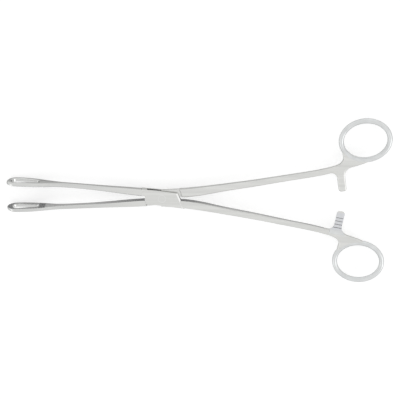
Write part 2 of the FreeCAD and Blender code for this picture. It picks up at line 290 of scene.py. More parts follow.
def spread(path: np.ndarray, steps: int) -> np.ndarray:
    """The same path with its points at equal distances.

    Args:
        path: Points of the path.
        steps: Number of steps wanted.

    Returns:
        The new points.
    """
    gaps = np.linalg.norm(np.diff(path, axis=0), axis=1)
    reach = np.concatenate([[0.0], np.cumsum(gaps)])
    spots = np.linspace(0.0, reach[-1], steps + 1)
    return np.stack([np.interp(spots, reach, path[:, axis]) for axis in range(2)], axis=1)


def inset(outline: np.ndarray, distance: float, weights: np.ndarray | None = None) -> np.ndarray:
    """Closed outline moved to the left of its own direction, so inwards if it runs anticlockwise.

    Args:
        outline: Points of the outline.
        distance: How far to move it.
        weights: Share of the distance for each point, or None for all of it.

    Returns:
        The moved points.
    """
    before = outline - np.roll(outline, 1, axis=0)
    after = np.roll(outline, -1, axis=0) - outline
    before /= np.linalg.norm(before, axis=1, keepdims=True)
    after /= np.linalg.norm(after, axis=1, keepdims=True)
    left_before = np.stack([-before[:, 1], before[:, 0]], axis=1)
    left_after = np.stack([-after[:, 1], after[:, 0]], axis=1)
    spread_out = 1 + np.sum(left_before * left_after, axis=1, keepdims=True)
    move = (left_before + left_after) / np.maximum(spread_out, 0.5) * distance
    return outline + (move if weights is None else move * weights[:, None])


def height_on(curve: np.ndarray, x: float) -> float:
    """Height of a curve at x."""
    return float(np.interp(x, curve[:, 0], curve[:, 1]))


def quarter(radius: float, steps: int) -> list[tuple[float, float]]:
    """Profile of a rounded edge, from the flat to the wall.

    Args:
        radius: Radius of the round.
        steps: Number of steps.

    Returns:
        For each point its inset from the wall and its distance from the flat.
    """
    angles = [math.pi / 2 * index / steps for index in range(steps + 1)]
    return [(radius * (1 - math.sin(angle)), radius * (1 - math.cos(angle))) for angle in angles]


def solid_of(name: str, bm: bmesh.types.BMesh) -> bpy.types.Object:
    """Object made of a closed shell, with doubles merged and faces pointing outwards.

    Args:
        name: Name of the object.
        bm: The shell; it is freed.

    Returns:
        The object, linked to the scene.
    """
    bmesh.ops.remove_doubles(bm, verts=bm.verts, dist=DRAWN_WELD)
    bmesh.ops.recalc_face_normals(bm, faces=bm.faces)
    mesh = bpy.data.meshes.new(name)
    bm.to_mesh(mesh)
    bm.free()
    made = bpy.data.objects.new(name, mesh)
    bpy.context.scene.collection.objects.link(made)
    return made


def wall_through(bm: bmesh.types.BMesh, loops: Sequence[Sequence[Vector]]) -> list[list[bmesh.types.BMVert]]:
    """Adds a wall through a stack of loops with equal numbers of points.

    Args:
        bm: Mesh that gets the wall.
        loops: The loops, from one end to the other.

    Returns:
        The corners of each loop.
    """
    rows = [[bm.verts.new(spot) for spot in loop] for loop in loops]
    for low, high in zip(rows, rows[1:]):
        for index in range(len(low)):
            bm.faces.new((low[index - 1], low[index], high[index], high[index - 1]))
    return rows


def stack_of_loops(name: str, loops: Sequence[Sequence[Vector]]) -> bpy.types.Object:
    """Closed shell through a stack of loops with equal numbers of points.

    Args:
        name: Name of the object.
        loops: The loops, from one flat end to the other.

    Returns:
        The object.
    """
    bm = bmesh.new()
    rows = wall_through(bm, loops)
    flats = [bm.faces.new(rows[0]), bm.faces.new(rows[-1])]
    bm.normal_update()
    bmesh.ops.triangulate(bm, faces=flats, ngon_method="EAR_CLIP")
    return solid_of(name, bm)


def rounded_plate(name: str, outline: np.ndarray, half_height: Callable[[float], float], radius: float,
                  weights: np.ndarray, steps: int = 6) -> bpy.types.Object:
    """Plate about the middle plane, with rounded edges.

    Args:
        name: Name of the object.
        outline: The plate's edge seen from above, anticlockwise.
        half_height: Half its thickness at a given x.
        radius: Radius of its edges.
        weights: Share of that radius at each point.
        steps: Steps in each round.

    Returns:
        The object.
    """
    loops = []
    for side, profile in ((-1, quarter(radius, steps)), (1, quarter(radius, steps)[::-1])):
        for across, down in profile:
            flat = inset(outline, across, weights)
            loops.append([Vector((x, y, side * (half_height(x) - down * weight)))
                          for (x, y), weight in zip(flat, weights)])
    return stack_of_loops(name, loops)


def prism(name: str, corners: Sequence[Vector], along: Vector) -> bpy.types.Object:
    """Bar with the given corners in its middle, half its length to each side.

    Args:
        name: Name of the object.
        corners: Corners of its section.
        along: Its whole length and direction.

    Returns:
        The object.
    """
    return stack_of_loops(name, [[spot + along * way / 2 for spot in corners] for way in (-1, 1)])


def drum(name: str, radius: float, low: float, high: float, steps: int = 96) -> bpy.types.Object:
    """Upright cylinder about the pivot.

    Args:
        name: Name of the object.
        radius: Its radius.
        low: Height of its lower end.
        high: Height of its upper end.
        steps: Number of sides.

    Returns:
        The object.
    """
    circle = arc((0, 0), radius, 0, 2 * math.pi, steps)[:-1]
    return stack_of_loops(name, [[Vector((x, y, z)) for x, y in circle] for z in (low, high)])


def lathe(name: str, profile: Sequence[tuple[float, float]], steps: int = 96) -> bpy.types.Object:
    """Solid turned about the pivot axis.

    Args:
        name: Name of the object.
        profile: Radius and height of each corner, from the bottom up.
        steps: Number of sides.

    Returns:
        The object.
    """
    loops = []
    for radius, height in profile:
        loops.append([Vector((x, y, height)) for x, y in arc((0, 0), radius, 0, 2 * math.pi, steps)[:-1]])
    return stack_of_loops(name, loops)


def settled(made: bpy.types.Object) -> bpy.types.Object:
    """Object whose modifiers have become its mesh.

    Args:
        made: Object with modifiers.

    Returns:
        The same object, with the result as its plain mesh.
    """
    bpy.context.view_layer.update()
    graph = bpy.context.evaluated_depsgraph_get()
    result = bpy.data.meshes.new_from_object(made.evaluated_get(graph), preserve_all_data_layers=True,
                                             depsgraph=graph)
    made.modifiers.clear()
    old = made.data
    made.data = result
    if old.users == 0:
        bpy.data.meshes.remove(old)
    return made


def combine(base: bpy.types.Object, others: Sequence[bpy.types.Object], how: Merge) -> bpy.types.Object:
    """One solid made of several; the others are used up.

    Args:
        base: Solid that stays.
        others: Solids to join to it or to cut from it.
        how: Which of the two.

    Returns:
        The base with its new mesh.
    """
    for other in others:
        step = base.modifiers.new(other.name, "BOOLEAN")
        step.operation = how.value
        step.object = other
        step.solver = "MANIFOLD"
        step.material_mode = "TRANSFER"
        settled(base)
        if not base.data.polygons:
            LOG.warning("nothing left of %s after %s", base.name, other.name)
        bpy.data.objects.remove(other)
    return base


class Tree:
    """A node tree that is built from named sockets."""

    def __init__(self, name: str, kind: str) -> None:
        """Starts an empty tree.

        Args:
            name: Name of the tree.
            kind: GeometryNodeTree or ShaderNodeTree.
        """
        self.tree = bpy.data.node_groups.new(name, kind)
        self.inside = self.tree.nodes.new("NodeGroupInput")
        self.outside = self.tree.nodes.new("NodeGroupOutput")

    def takes(self, name: str, kind: str, default: object = None) -> None:
        """Adds a named input.

        Args:
            name: Name of the input.
            kind: Its type, such as Float.
            default: Its first value, if it has one.
        """
        socket = self.tree.interface.new_socket(name, in_out="INPUT", socket_type="NodeSocket" + kind)
        if default is not None:
            socket.default_value = default

    def gives(self, name: str, kind: str) -> None:
        """Adds a named output.

        Args:
            name: Name of the output.
            kind: Its type.
        """
        self.tree.interface.new_socket(name, in_out="OUTPUT", socket_type="NodeSocket" + kind)

    def node(self, kind: str, values: dict[str | int, object] | None = None,
             **settings: object) -> bpy.types.Node:
        """Adds a node.

        Args:
            kind: The node's type.
            values: What each of its inputs is set to or linked from.
            **settings: The node's own properties.

        Returns:
            The node.
        """
        return add_node(self.tree, kind, values, **settings)

    def join(self, start: bpy.types.NodeSocket, end: bpy.types.NodeSocket) -> None:
        """Links an output to an input."""
        self.tree.links.new(start, end)

    def end_with(self, geometry: bpy.types.NodeSocket, steel: bpy.types.NodeSocket) -> None:
        """Ends a geometry tree in real geometry that wears a material.

        Args:
            geometry: The geometry, which may hold instances.
            steel: The material.
        """
        real = self.node("GeometryNodeRealizeInstances", {"Geometry": geometry})
        dressed = self.node("GeometryNodeSetMaterial", {"Geometry": real.outputs[0], "Material": steel})
        self.join(dressed.outputs[0], self.outside.inputs[0])


def grey(level: float) -> tuple[float, float, float, float]:
    """Colour of an even grey."""
    return level, level, level, 1.0


def add_node(tree: bpy.types.NodeTree, kind: str, values: dict[str | int, object] | None = None,
             **settings: object) -> bpy.types.Node:
    """Adds a node to a tree.

    Args:
        tree: The tree.
        kind: The node's type.
        values: What each of its inputs is set to, or the output that it is linked from.
        **settings: The node's own properties.

    Returns:
        The node.
    """
    node = tree.nodes.new(kind)
    for name, value in settings.items():
        setattr(node, name, value)
    for name, value in (values or {}).items():
        socket = node.inputs[name] if isinstance(name, int) else next(
            found for found in node.inputs if name in (found.identifier, found.name))
        if isinstance(value, bpy.types.NodeSocket):
            tree.links.new(value, socket)
        else:
            socket.default_value = value
    return node


def run_tree(made: bpy.types.Object, tree: bpy.types.NodeTree, values: dict[str, object]) -> bpy.types.Object:
    """Runs a geometry tree on an object and keeps the result as its mesh.

    Args:
        made: The object.
        tree: The geometry tree.
        values: Value of each named input.

    Returns:
        The object.
    """
    step = made.modifiers.new(tree.name, "NODES")
    step.node_group = tree
    for item in tree.interface.items_tree:
        if item.item_type == "SOCKET" and item.in_out == "INPUT" and item.name in values:
            step[item.identifier] = values[item.name]
    return settled(made)


class RowOfCuts:
    """Geometry nodes that repeat one cutter along a straight row, as teeth and grooves are."""

    def __init__(self) -> None:
        """Builds the tree."""
        rows = Tree("row_of_cuts", "GeometryNodeTree")
        rows.takes("Cutter", "Geometry")
        rows.takes("Count", "Int", 4)
        rows.takes("Step", "Vector", (1.0, 0.0, 0.0))
        rows.takes("Steel", "Material")
        rows.gives("Cuts", "Geometry")
        given = rows.inside.outputs
        line = rows.node("GeometryNodeMeshLine", {
            "Count": given["Count"], "Offset": given["Step"]}, mode="OFFSET")
        placed = rows.node("GeometryNodeInstanceOnPoints", {
            "Points": line.outputs[0], "Instance": given["Cutter"]})
        rows.end_with(placed.outputs[0], given["Steel"])
        self.tree = rows.tree

    def repeat(self, cutter: bpy.types.Object, count: int, step: Vector,
               steel: bpy.types.Material) -> bpy.types.Object:
        """Makes a row of copies of the cutter.

        Args:
            cutter: The first cutter, in its place.
            count: Number of cutters.
            step: Way from one to the next.
            steel: Finish of the cut faces.

        Returns:
            The row, as one object.
        """
        return run_tree(cutter, self.tree, {"Count": count, "Step": step, "Steel": steel})


class OvalBand:
    """Geometry nodes that sweep an oval section round an oval path, as a finger ring is forged."""

    def __init__(self) -> None:
        """Builds the tree."""
        band = Tree("oval_band", "GeometryNodeTree")
        band.takes("Geometry", "Geometry")
        band.takes("Path Radii", "Vector", (10.0, 10.0, 1.0))
        band.takes("Section Radii", "Vector", (1.0, 1.0, 1.0))
        band.takes("Centre", "Vector", (0.0, 0.0, 0.0))
        band.takes("Turn", "Rotation")
        band.takes("Path Steps", "Int", 128)
        band.takes("Section Steps", "Int", 32)
        band.takes("Steel", "Material")
        band.gives("Band", "Geometry")
        given = band.inside.outputs
        path = band.node("GeometryNodeCurvePrimitiveCircle", {"Resolution": given["Path Steps"]})
        oval = band.node("GeometryNodeTransform", {"Geometry": path.outputs[0], "Scale": given["Path Radii"]})
        level = band.node("GeometryNodeSetCurveNormal", {"Curve": oval.outputs[0]}, mode="Z_UP")
        section = band.node("GeometryNodeCurvePrimitiveCircle", {"Resolution": given["Section Steps"]})
        flat = band.node("GeometryNodeTransform", {
            "Geometry": section.outputs[0], "Scale": given["Section Radii"]})
        swept = band.node("GeometryNodeCurveToMesh", {
            "Curve": level.outputs[0], "Profile Curve": flat.outputs[0]})
        placed = band.node("GeometryNodeTransform", {
            "Geometry": swept.outputs[0], "Translation": given["Centre"], "Rotation": given["Turn"]})
        band.end_with(placed.outputs[0], given["Steel"])
        self.tree = band.tree


class Relief(Enum):
    """How the grain of a ground surface runs."""

    ALONG = (0.25, 9.0, 9.0)
    ACROSS = (9.0, 0.25, 9.0)
    EVEN = (3.0, 3.0, 3.0)


class GroundGrain:
    """Shader group for the fine lines that grinding and satin brushing leave on steel.

    Attributes:
        STREAKS_PER_MM: How close the broad streaks stand.
        CLOUDS_PER_MM: How close the soft clouds stand.
    """

    STREAKS_PER_MM: float = 0.06
    CLOUDS_PER_MM: float = 0.12

    def __init__(self) -> None:
        """Builds the group."""
        grain = Tree("ground_grain", "ShaderNodeTree")
        grain.takes("Vector", "Vector")
        grain.takes("Stretch", "Vector", Relief.ALONG.value)
        grain.takes("Lines per mm", "Float", 1.0)
        grain.takes("Clouds", "Float", 0.5)
        grain.gives("Height", "Float")
        grain.gives("Cloud", "Float")
        grain.gives("Streak", "Float")
        given = grain.inside.outputs
        stretched = grain.node("ShaderNodeVectorMath", {
            0: given["Vector"], 1: given["Stretch"]}, operation="MULTIPLY")
        dense = grain.node("ShaderNodeVectorMath", {
            0: stretched.outputs[0], "Scale": given["Lines per mm"]}, operation="SCALE")
        lines = grain.node("ShaderNodeTexNoise", {
            "Vector": dense.outputs[0], "Scale": 1 / MM, "Detail": 3.0, "Roughness": 0.6})
        streaks = grain.node("ShaderNodeTexNoise", {
            "Vector": stretched.outputs[0], "Scale": self.STREAKS_PER_MM / MM,
            "Detail": 2.0, "Roughness": 0.5})
        cloud = grain.node("ShaderNodeTexNoise", {
            "Vector": given["Vector"], "Scale": self.CLOUDS_PER_MM / MM,
            "Detail": 4.0, "Roughness": 0.55})
        centred = grain.node("ShaderNodeMath", {0: cloud.outputs["Fac"], 1: 0.5}, operation="SUBTRACT")
        weighed = grain.node("ShaderNodeMath", {
            0: centred.outputs[0], 1: given["Clouds"]}, operation="MULTIPLY")
        grain.join(lines.outputs["Fac"], grain.outside.inputs["Height"])
        grain.join(weighed.outputs[0], grain.outside.inputs["Cloud"])
        grain.join(streaks.outputs["Fac"], grain.outside.inputs["Streak"])
        self.tree = grain.tree


class WornEdgesAndHollowShade:
    """Shader group for edges that handling has brightened and for painted shade in hollows.

    Attributes:
        EDGE_REACH: How far inside the metal the edge mask looks, in millimetres.
        EDGE_RANGE: Share of metal around a point where the edge mask starts and where it is full.
        HOLLOW_REACH: How far from the metal the mask of painted shade looks, in millimetres.
        HOLLOW_RANGE: Share of open air where the painted shade starts and where it is full.
        RAYS: Number of rays for each mask.
    """

    EDGE_REACH: float = 0.5
    EDGE_RANGE: tuple[float, float] = (0.9, 0.5)
    HOLLOW_REACH: float = 0.9
    HOLLOW_RANGE: tuple[float, float] = (0.88, 0.68)
    RAYS: int = 8

    def __init__(self) -> None:
        """Builds the group."""
        wear_and_shade = Tree("worn_edges_and_hollow_shade", "ShaderNodeTree")
        wear_and_shade.takes("Amount", "Float", 1.0)
        wear_and_shade.gives("Edge", "Float")
        wear_and_shade.gives("Painted Shade", "Float")
        metal = wear_and_shade.node("ShaderNodeAmbientOcclusion", {
            "Distance": self.EDGE_REACH * MM}, samples=self.RAYS, inside=True, only_local=True)
        # painted shade: darker where little open air is round a point, in hollows, grooves and between parts
        open_air = wear_and_shade.node("ShaderNodeAmbientOcclusion", {
            "Distance": self.HOLLOW_REACH * MM}, samples=self.RAYS, only_local=True)
        masks = (("Edge", metal, self.EDGE_RANGE), ("Painted Shade", open_air, self.HOLLOW_RANGE))
        for name, around, (start, full) in masks:
            mask = wear_and_shade.node("ShaderNodeMapRange", {
                "Value": around.outputs["AO"], "From Min": start, "From Max": full,
                "To Min": 0.0, "To Max": 1.0})
            weighed = wear_and_shade.node("ShaderNodeMath", {
                0: mask.outputs[0], 1: wear_and_shade.inside.outputs["Amount"]}, operation="MULTIPLY")
            wear_and_shade.join(weighed.outputs[0], wear_and_shade.outside.inputs[name])
        self.tree = wear_and_shade.tree


@dataclass(frozen=True)
class SteelFinish:
    """One finish of the stainless steel.

    Attributes:
        name: Name of the material.
        colour: Colour of plain surfaces.
        edge_colour: Colour of edges that handling has brightened.
        hollow_colour: Colour of the painted shade in hollows.
        roughness: Roughness, before the clouds change it.
        relief: How the grain runs.
        lines_per_mm: How close the lines of the grain stand.
        line_depth: Their depth, in millimetres.
        clouds: How much the roughness changes from place to place.
        soft_edge: Radius by which edges look softened, in millimetres.
        grazing: Tint of the reflection at a grazing view.
        lock_colour: Colour beside the lock; on the inner sides it is a painted shade of the lock.
        lock_share: How much of that colour shows there.
        streaks: How much the broad streaks change the colour.
        lock_near: Distance from the pivot up to which it shows in full, in millimetres.
        lock_far: Distance from the pivot where none of it is left.
        bump: Strength of the lines' relief.
        edge_rays: Number of rays that soften the edges.
    """

    name: str
    colour: tuple[float, float, float]
    edge_colour: tuple[float, float, float]
    hollow_colour: tuple[float, float, float]
    roughness: float
    relief: Relief
    lines_per_mm: float
    line_depth: float
    clouds: float
    soft_edge: float
    grazing: float
    lock_colour: tuple[float, float, float] = (0.66, 0.66, 0.65)
    lock_share: float = 0.0
    streaks: float = 0.15
    lock_near: float = 14.0
    lock_far: float = 45.0
    bump: float = 0.35
    edge_rays: int = 6

    def build(self, grain: GroundGrain, wear_and_shade: WornEdgesAndHollowShade) -> bpy.types.Material:
        """Builds the material.

        Args:
            grain: Group for the ground lines.
            wear_and_shade: Group for the brightened edges and for the painted shade in hollows.

        Returns:
            The material.
        """
        steel = bpy.data.materials.new(self.name)
        steel.use_nodes = True
        tree = steel.node_tree
        tree.nodes.clear()
        place = add_node(tree, "ShaderNodeTexCoord")
        lines = add_node(tree, "ShaderNodeGroup", node_tree=grain.tree)
        tree.links.new(place.outputs["Object"], lines.inputs["Vector"])
        lines.inputs["Stretch"].default_value = self.relief.value
        lines.inputs["Lines per mm"].default_value = self.lines_per_mm
        lines.inputs["Clouds"].default_value = self.clouds
        edges = add_node(tree, "ShaderNodeGroup", node_tree=wear_and_shade.tree)
        streaky = add_node(tree, "ShaderNodeMix", {
            "Factor_Float": lines.outputs["Streak"],
            "A_Color": (*(part * (1 - self.streaks) for part in self.colour), 1.0),
            "B_Color": (*(part * (1 + self.streaks) for part in self.colour), 1.0)}, data_type="RGBA")
        # towards the lock the colour turns to lock_colour, a painted shade of the lock on the inner sides
        away = add_node(tree, "ShaderNodeVectorMath", {0: place.outputs["Object"]}, operation="LENGTH")
        near_lock = add_node(tree, "ShaderNodeMapRange", {
            "Value": away.outputs["Value"], "From Min": self.lock_near * MM,
            "From Max": self.lock_far * MM, "To Min": self.lock_share, "To Max": 0.0})
        local = add_node(tree, "ShaderNodeMix", {
            "Factor_Float": near_lock.outputs[0],
            "A_Color": streaky.outputs[2],
            "B_Color": (*self.lock_colour, 1.0)}, data_type="RGBA")
        colour = add_node(tree, "ShaderNodeMix", {
            "Factor_Float": edges.outputs["Edge"],
            "A_Color": local.outputs[2],
            "B_Color": (*self.edge_colour, 1.0)}, data_type="RGBA")
        # painted shade in hollows
        shade = add_node(tree, "ShaderNodeMix", {
            "Factor_Float": edges.outputs["Painted Shade"],
            "A_Color": colour.outputs[2],
            "B_Color": (*self.hollow_colour, 1.0)}, data_type="RGBA")
        rough = add_node(tree, "ShaderNodeMath", {
            0: lines.outputs["Cloud"], 1: self.roughness}, operation="ADD")
        softened = add_node(tree, "ShaderNodeBevel", {"Radius": self.soft_edge * MM}, samples=self.edge_rays)
        bump = add_node(tree, "ShaderNodeBump", {
            "Strength": self.bump, "Distance": self.line_depth * MM,
            "Height": lines.outputs["Height"], "Normal": softened.outputs[0]})
        shader = add_node(tree, "ShaderNodeBsdfPrincipled", {
            "Base Color": shade.outputs[2], "Metallic": 1.0, "Roughness": rough.outputs[0],
            "Specular Tint": grey(self.grazing), "Normal": bump.outputs[0]})
        add_node(tree, "ShaderNodeOutputMaterial", {"Surface": shader.outputs[0]})
        return steel


# Colours of the painted shade in hollows: dark on the jaws and inner sides, darkest in the ratchet's teeth,
# light on satin steel.
HOLLOW_SHADE = (0.2, 0.2, 0.205)
NOTCH_SHADE = (0.08, 0.08, 0.085)
SHADED = (0.45, 0.45, 0.45)
SATIN = SteelFinish(
    "satin_steel", colour=(0.675, 0.677, 0.66), edge_colour=(0.71, 0.712, 0.7), hollow_colour=SHADED,
    roughness=0.34, relief=Relief.ALONG, lines_per_mm=0.9, line_depth=0.02, clouds=0.12, soft_edge=0.12,
    grazing=0.35)
COOL = SteelFinish(
    "cool_satin_steel", colour=(0.668, 0.68, 0.68), edge_colour=(0.71, 0.72, 0.725), hollow_colour=SHADED,
    roughness=0.34, relief=Relief.EVEN, lines_per_mm=0.9, line_depth=0.02, clouds=0.12, soft_edge=0.12,
    grazing=0.35)
POLISHED = SteelFinish(
    "polished_steel", colour=(0.62, 0.625, 0.615), edge_colour=(0.7, 0.7, 0.7), hollow_colour=HOLLOW_SHADE,
    roughness=0.17, relief=Relief.ALONG, lines_per_mm=0.6, line_depth=0.008, clouds=0.08, soft_edge=0.12,
    grazing=0.3, lock_colour=SATIN.colour, lock_share=1.0)
GROUND = SteelFinish(
    "ground_steel", colour=(0.66, 0.67, 0.69), edge_colour=(0.72, 0.73, 0.75), hollow_colour=NOTCH_SHADE,
    roughness=0.3, relief=Relief.ACROSS, lines_per_mm=1.2, line_depth=0.02, clouds=0.1, soft_edge=0.08,
    grazing=0.35)
# Painted shade: a darker steel for the sides that face the other half, the jaws' grooves and the slot,
# darkest beside the lock.
FLANK_SHADE = SteelFinish(
    "flank_shade_steel", colour=(0.47, 0.47, 0.465), edge_colour=(0.6, 0.6, 0.6), hollow_colour=HOLLOW_SHADE,
    roughness=0.26, relief=Relief.ALONG, lines_per_mm=0.9, line_depth=0.02, clouds=0.1, soft_edge=0.12,
    grazing=0.6, lock_colour=HOLLOW_SHADE, lock_share=0.75)
# Painted shade: a still darker steel for the jaws' gripping faces at the tip and past the window's root.
GRIP_SHADE = SteelFinish(
    "grip_shade_steel", colour=(0.25, 0.25, 0.25), edge_colour=(0.6, 0.6, 0.6), hollow_colour=HOLLOW_SHADE,
    roughness=0.26, relief=Relief.EVEN, lines_per_mm=0.9, line_depth=0.02, clouds=0.1, soft_edge=0.12,
    grazing=0.6)
# Painted highlight: a much paler steel for the bevel at the box's free end and the walls of the rooms in the
# lock.
PAINTED_HIGHLIGHT = SteelFinish(
    "painted_highlight_steel", colour=(0.88, 0.88, 0.87), edge_colour=(0.9, 0.9, 0.9), hollow_colour=(0.5, 0.5, 0.5),
    roughness=0.22, relief=Relief.EVEN, lines_per_mm=0.6, line_depth=0.008, clouds=0.05, soft_edge=0.08,
    grazing=0.9, streaks=0.03)


def paint_where(made: bpy.types.Object, steel: bpy.types.Material,
                chosen: Callable[[bpy.types.MeshPolygon], bool]) -> None:
    """Gives some faces another finish.

    Args:
        made: The object.
        steel: The other finish.
        chosen: Tells whether a face gets it.
    """
    made.data.materials.append(steel)
    index = len(made.data.materials) - 1
    for face in made.data.polygons:
        if chosen(face):
            face.material_index = index


def with_walls(made: bpy.types.Object, steel: bpy.types.Material,
               bright: bpy.types.Material) -> bpy.types.Object:
    """Dresses an upright cutter, whose walls and flats leave different finishes.

    Args:
        made: The cutter.
        steel: Finish of the flats.
        bright: Finish of the walls; in the lock it is the painted highlight.

    Returns:
        The cutter.
    """
    made.data.materials.append(steel)
    paint_where(made, bright, lambda face: abs(face.normal.z) < UPRIGHT)
    return made


def even_flats(mesh: bpy.types.Mesh, sharp_angle: float) -> None:
    """Gives the rim of each level face that face's own normal, so that flats shade as flats.

    Args:
        mesh: The mesh, smooth apart from its sharp edges.
        sharp_angle: Angle past which two faces don't shade as one, in degrees.
    """
    level = {}
    for face in mesh.polygons:
        if abs(face.normal.z) > LEVEL:
            for vertex in face.vertices:
                level[vertex] = Vector((0, 0, math.copysign(1, face.normal.z)))
    least = math.cos(math.radians(sharp_angle))
    normals = [corner.vector.copy() for corner in mesh.corner_normals]
    for face in mesh.polygons:
        for at in face.loop_indices:
            flat = level.get(mesh.loops[at].vertex_index)
            if flat is not None and face.normal.dot(flat) > least:
                normals[at] = flat
    mesh.normals_split_custom_set(normals)


@dataclass
class Jaw:
    """Jaw shank with its windowed loop and grooved gripping face.

    Attributes:
        inner_share: How far a face has to point to the other jaw to get the inner side's painted shade, so
        that a small share carries that shade round the edges.
        sizes: Sizes of the jaw.
        grip_share: How far a face has to point to the other jaw to get the grip's darker painted shade.
        tip_grip: Length of that painted shade at the tip, in widths of the rim there.
        throat_grip: Its length beyond the window's root, in radii of that root.
        shank_steps: Steps along the edge of the shank.
        loop_steps: Steps along half the loop.
        inner_steps: Steps of the inner curve.
        outer_steps: Steps of the outer curve.
        flank_steps: Steps of the curve of half widths.
        tip_steps: Steps of the arcs at the tip.
        root_steps: Steps of the arc at the window's root.
        inner_round_steps: Steps of the rounds on the gripping side.
        outer_round_steps: Steps of the rounds on the back.
    """

    inner_share: float
    sizes: JawSizes = field(default_factory=JawSizes)
    grip_share: float = 0.45
    tip_grip: float = 1.5
    throat_grip: float = 2.0
    shank_steps: int = 80
    loop_steps: int = 72
    inner_steps: int = 160
    outer_steps: int = 260
    flank_steps: int = 240
    tip_steps: int = 40
    root_steps: int = 24
    inner_round_steps: int = 3
    outer_round_steps: int = 7

    def grip(self, x: float) -> float:
        """Height of the gripping face at x."""
        share = (x + self.sizes.reach) / (self.sizes.reach - self.sizes.loop_root_reach)
        return self.sizes.tip_inner + (self.sizes.loop_root_inner - self.sizes.tip_inner) * share

    def inner_curve(self) -> np.ndarray:
        """Inner edge seen along the pivot, from the tip to the root."""
        s = self.sizes
        shank = spline_through([
            (-s.loop_root_reach, s.loop_root_inner), (-s.neck_reach, s.neck_inner),
            (-s.waist_reach, s.waist_inner), (-s.lock_reach, s.root_inner),
            (s.root, s.root_inner)], self.inner_steps)
        tip = np.array([(-s.reach, self.grip(-s.reach))])
        return np.concatenate([tip, shank])

    def outer_curve(self) -> np.ndarray:
        """Outer edge seen along the pivot, from beyond the tip to the root."""
        s = self.sizes
        beyond = -s.reach - s.cutter_spare
        blunt = s.loop_half_width - s.reach
        loop = (-s.window_reach, self.grip(-s.window_reach) + s.loop_thickness)
        neck = (-s.neck_reach, s.neck_outer)
        return spline_through([
            (beyond, self.grip(beyond) + s.tip_thickness / 2),
            (-s.reach, s.tip_inner + s.tip_thickness),
            (blunt, self.grip(blunt) + s.loop_thickness),
            loop,
            ((loop[0] + neck[0]) / 2, (loop[1] + neck[1]) / 2),
            neck,
            (-s.waist_reach, s.waist_outer),
            (-s.lock_reach, s.root_outer),
            (s.root, s.root_outer)], self.outer_steps)

    def flank(self) -> np.ndarray:
        """Half width against x, from the loop's widest place to the root."""
        s = self.sizes
        neck_half = s.neck_thickness / 2
        run = s.neck_reach + s.loop_half_width - s.reach
        points = [(s.root, s.root_thickness / 2),
                  (-s.waist_reach, (s.root_thickness / 2 + neck_half) / 2),
                  (-s.neck_reach, neck_half)]
        swell = s.loop_half_width - neck_half
        for run_share, swell_share in s.flare:
            points.append((-s.neck_reach + run * run_share, neck_half + swell * swell_share))
        return spline_through(points, self.flank_steps)

    def outlines(self) -> tuple[np.ndarray, np.ndarray]:
        """Outer outline and window seen from the gripping side.

        Returns:
            The outer outline, anticlockwise from the root, and the window, anticlockwise from its root,
            with a point of the window for each point of the outline round the loop.
        """
        s = self.sizes
        flank = self.flank()
        tip = arc((s.loop_half_width - s.reach, 0.0), s.loop_half_width, math.pi / 2, math.pi, self.tip_steps)
        rung_x = -s.window_reach + s.window_root_radius
        shank_part = flank[flank[:, 0] >= rung_x]
        loop_part = np.concatenate([flank[flank[:, 0] < rung_x], tip[1:]])
        shank_part = spread(shank_part, self.shank_steps)
        loop_part = spread(np.concatenate([shank_part[-1:], loop_part]), self.loop_steps)
        front = np.concatenate([shank_part, loop_part[1:]])
        back = front[-2::-1] * (1, -1)
        tip_radius = s.loop_half_width - s.rim_width
        tip_x = -s.reach + s.rim_tip_width + tip_radius
        root_x = -s.window_reach - s.window_root_radius
        lean = math.asin((tip_radius - s.window_root_radius) / (root_x - tip_x))
        front_window = spread(np.concatenate([
            arc((root_x, 0), s.window_root_radius, 0, math.pi / 2 - lean, self.root_steps),
            arc((tip_x, 0), tip_radius, math.pi / 2 - lean, math.pi, self.tip_steps)]), self.loop_steps)
        back_window = front_window[-2:0:-1] * (1, -1)
        return np.concatenate([front, back]), np.concatenate([front_window, back_window])

    def rings(self, path: np.ndarray, way: int, rounds: tuple[float, float],
              curves: tuple[np.ndarray, np.ndarray]) -> list[list[Vector]]:
        """Rings of points round the rim or round the window, with their rounded edges.

        Args:
            path: The outline or the window, seen from the gripping side.
            way: 1 where the metal is inside the path, -1 where it is outside.
            rounds: Radius of the edge on the gripping side and of the edge on the back.
            curves: The inner and the outer edge seen along the pivot.

        Returns:
            The rings, from the gripping side to the back.
        """
        inner, outer = curves
        found = []
        for across, down in quarter(rounds[0], self.inner_round_steps):
            found.append([Vector((x, height_on(inner, x) + down, z)) for x, z in inset(path, across * way)])
        for across, down in quarter(rounds[1], self.outer_round_steps)[::-1]:
            found.append([Vector((x, height_on(outer, x) - down, z)) for x, z in inset(path, across * way)])
        return found

    def shell(self) -> bmesh.types.BMesh:
        """Closed shell of the jaw, before its grooves are cut.

        Returns:
            The walls of rim and window, the gripping side, the back and the flat end in the lock.
        """
        s = self.sizes
        curves = (self.inner_curve(), self.outer_curve())
        outline, window = self.outlines()
        bm = bmesh.new()
        rim_wall = wall_through(bm, self.rings(outline, 1, (s.inner_round, s.outer_round), curves))
        window_rounds = (s.window_inner_round, s.window_outer_round)
        window_wall = wall_through(bm, self.rings(window, -1, window_rounds, curves))
        last = len(outline) - 1
        for level, curve in zip((0, -1), curves):
            rim = rim_wall[level]
            hole = window_wall[level]
            spine = []
            for index in range(self.shank_steps):
                x = rim[index].co.x
                spine.append(bm.verts.new((x, height_on(curve, x), 0.0)))
            spine.append(hole[0])
            for index in range(self.shank_steps):
                bm.faces.new((rim[index], rim[index + 1], spine[index + 1], spine[index]))
                bm.faces.new((rim[last - index], rim[last - index - 1], spine[index + 1], spine[index]))
            for index in range(2 * self.loop_steps):
                ahead = (index + 1) % len(hole)
                at = self.shank_steps + index
                bm.faces.new((rim[at], rim[at + 1], hole[ahead], hole[index]))
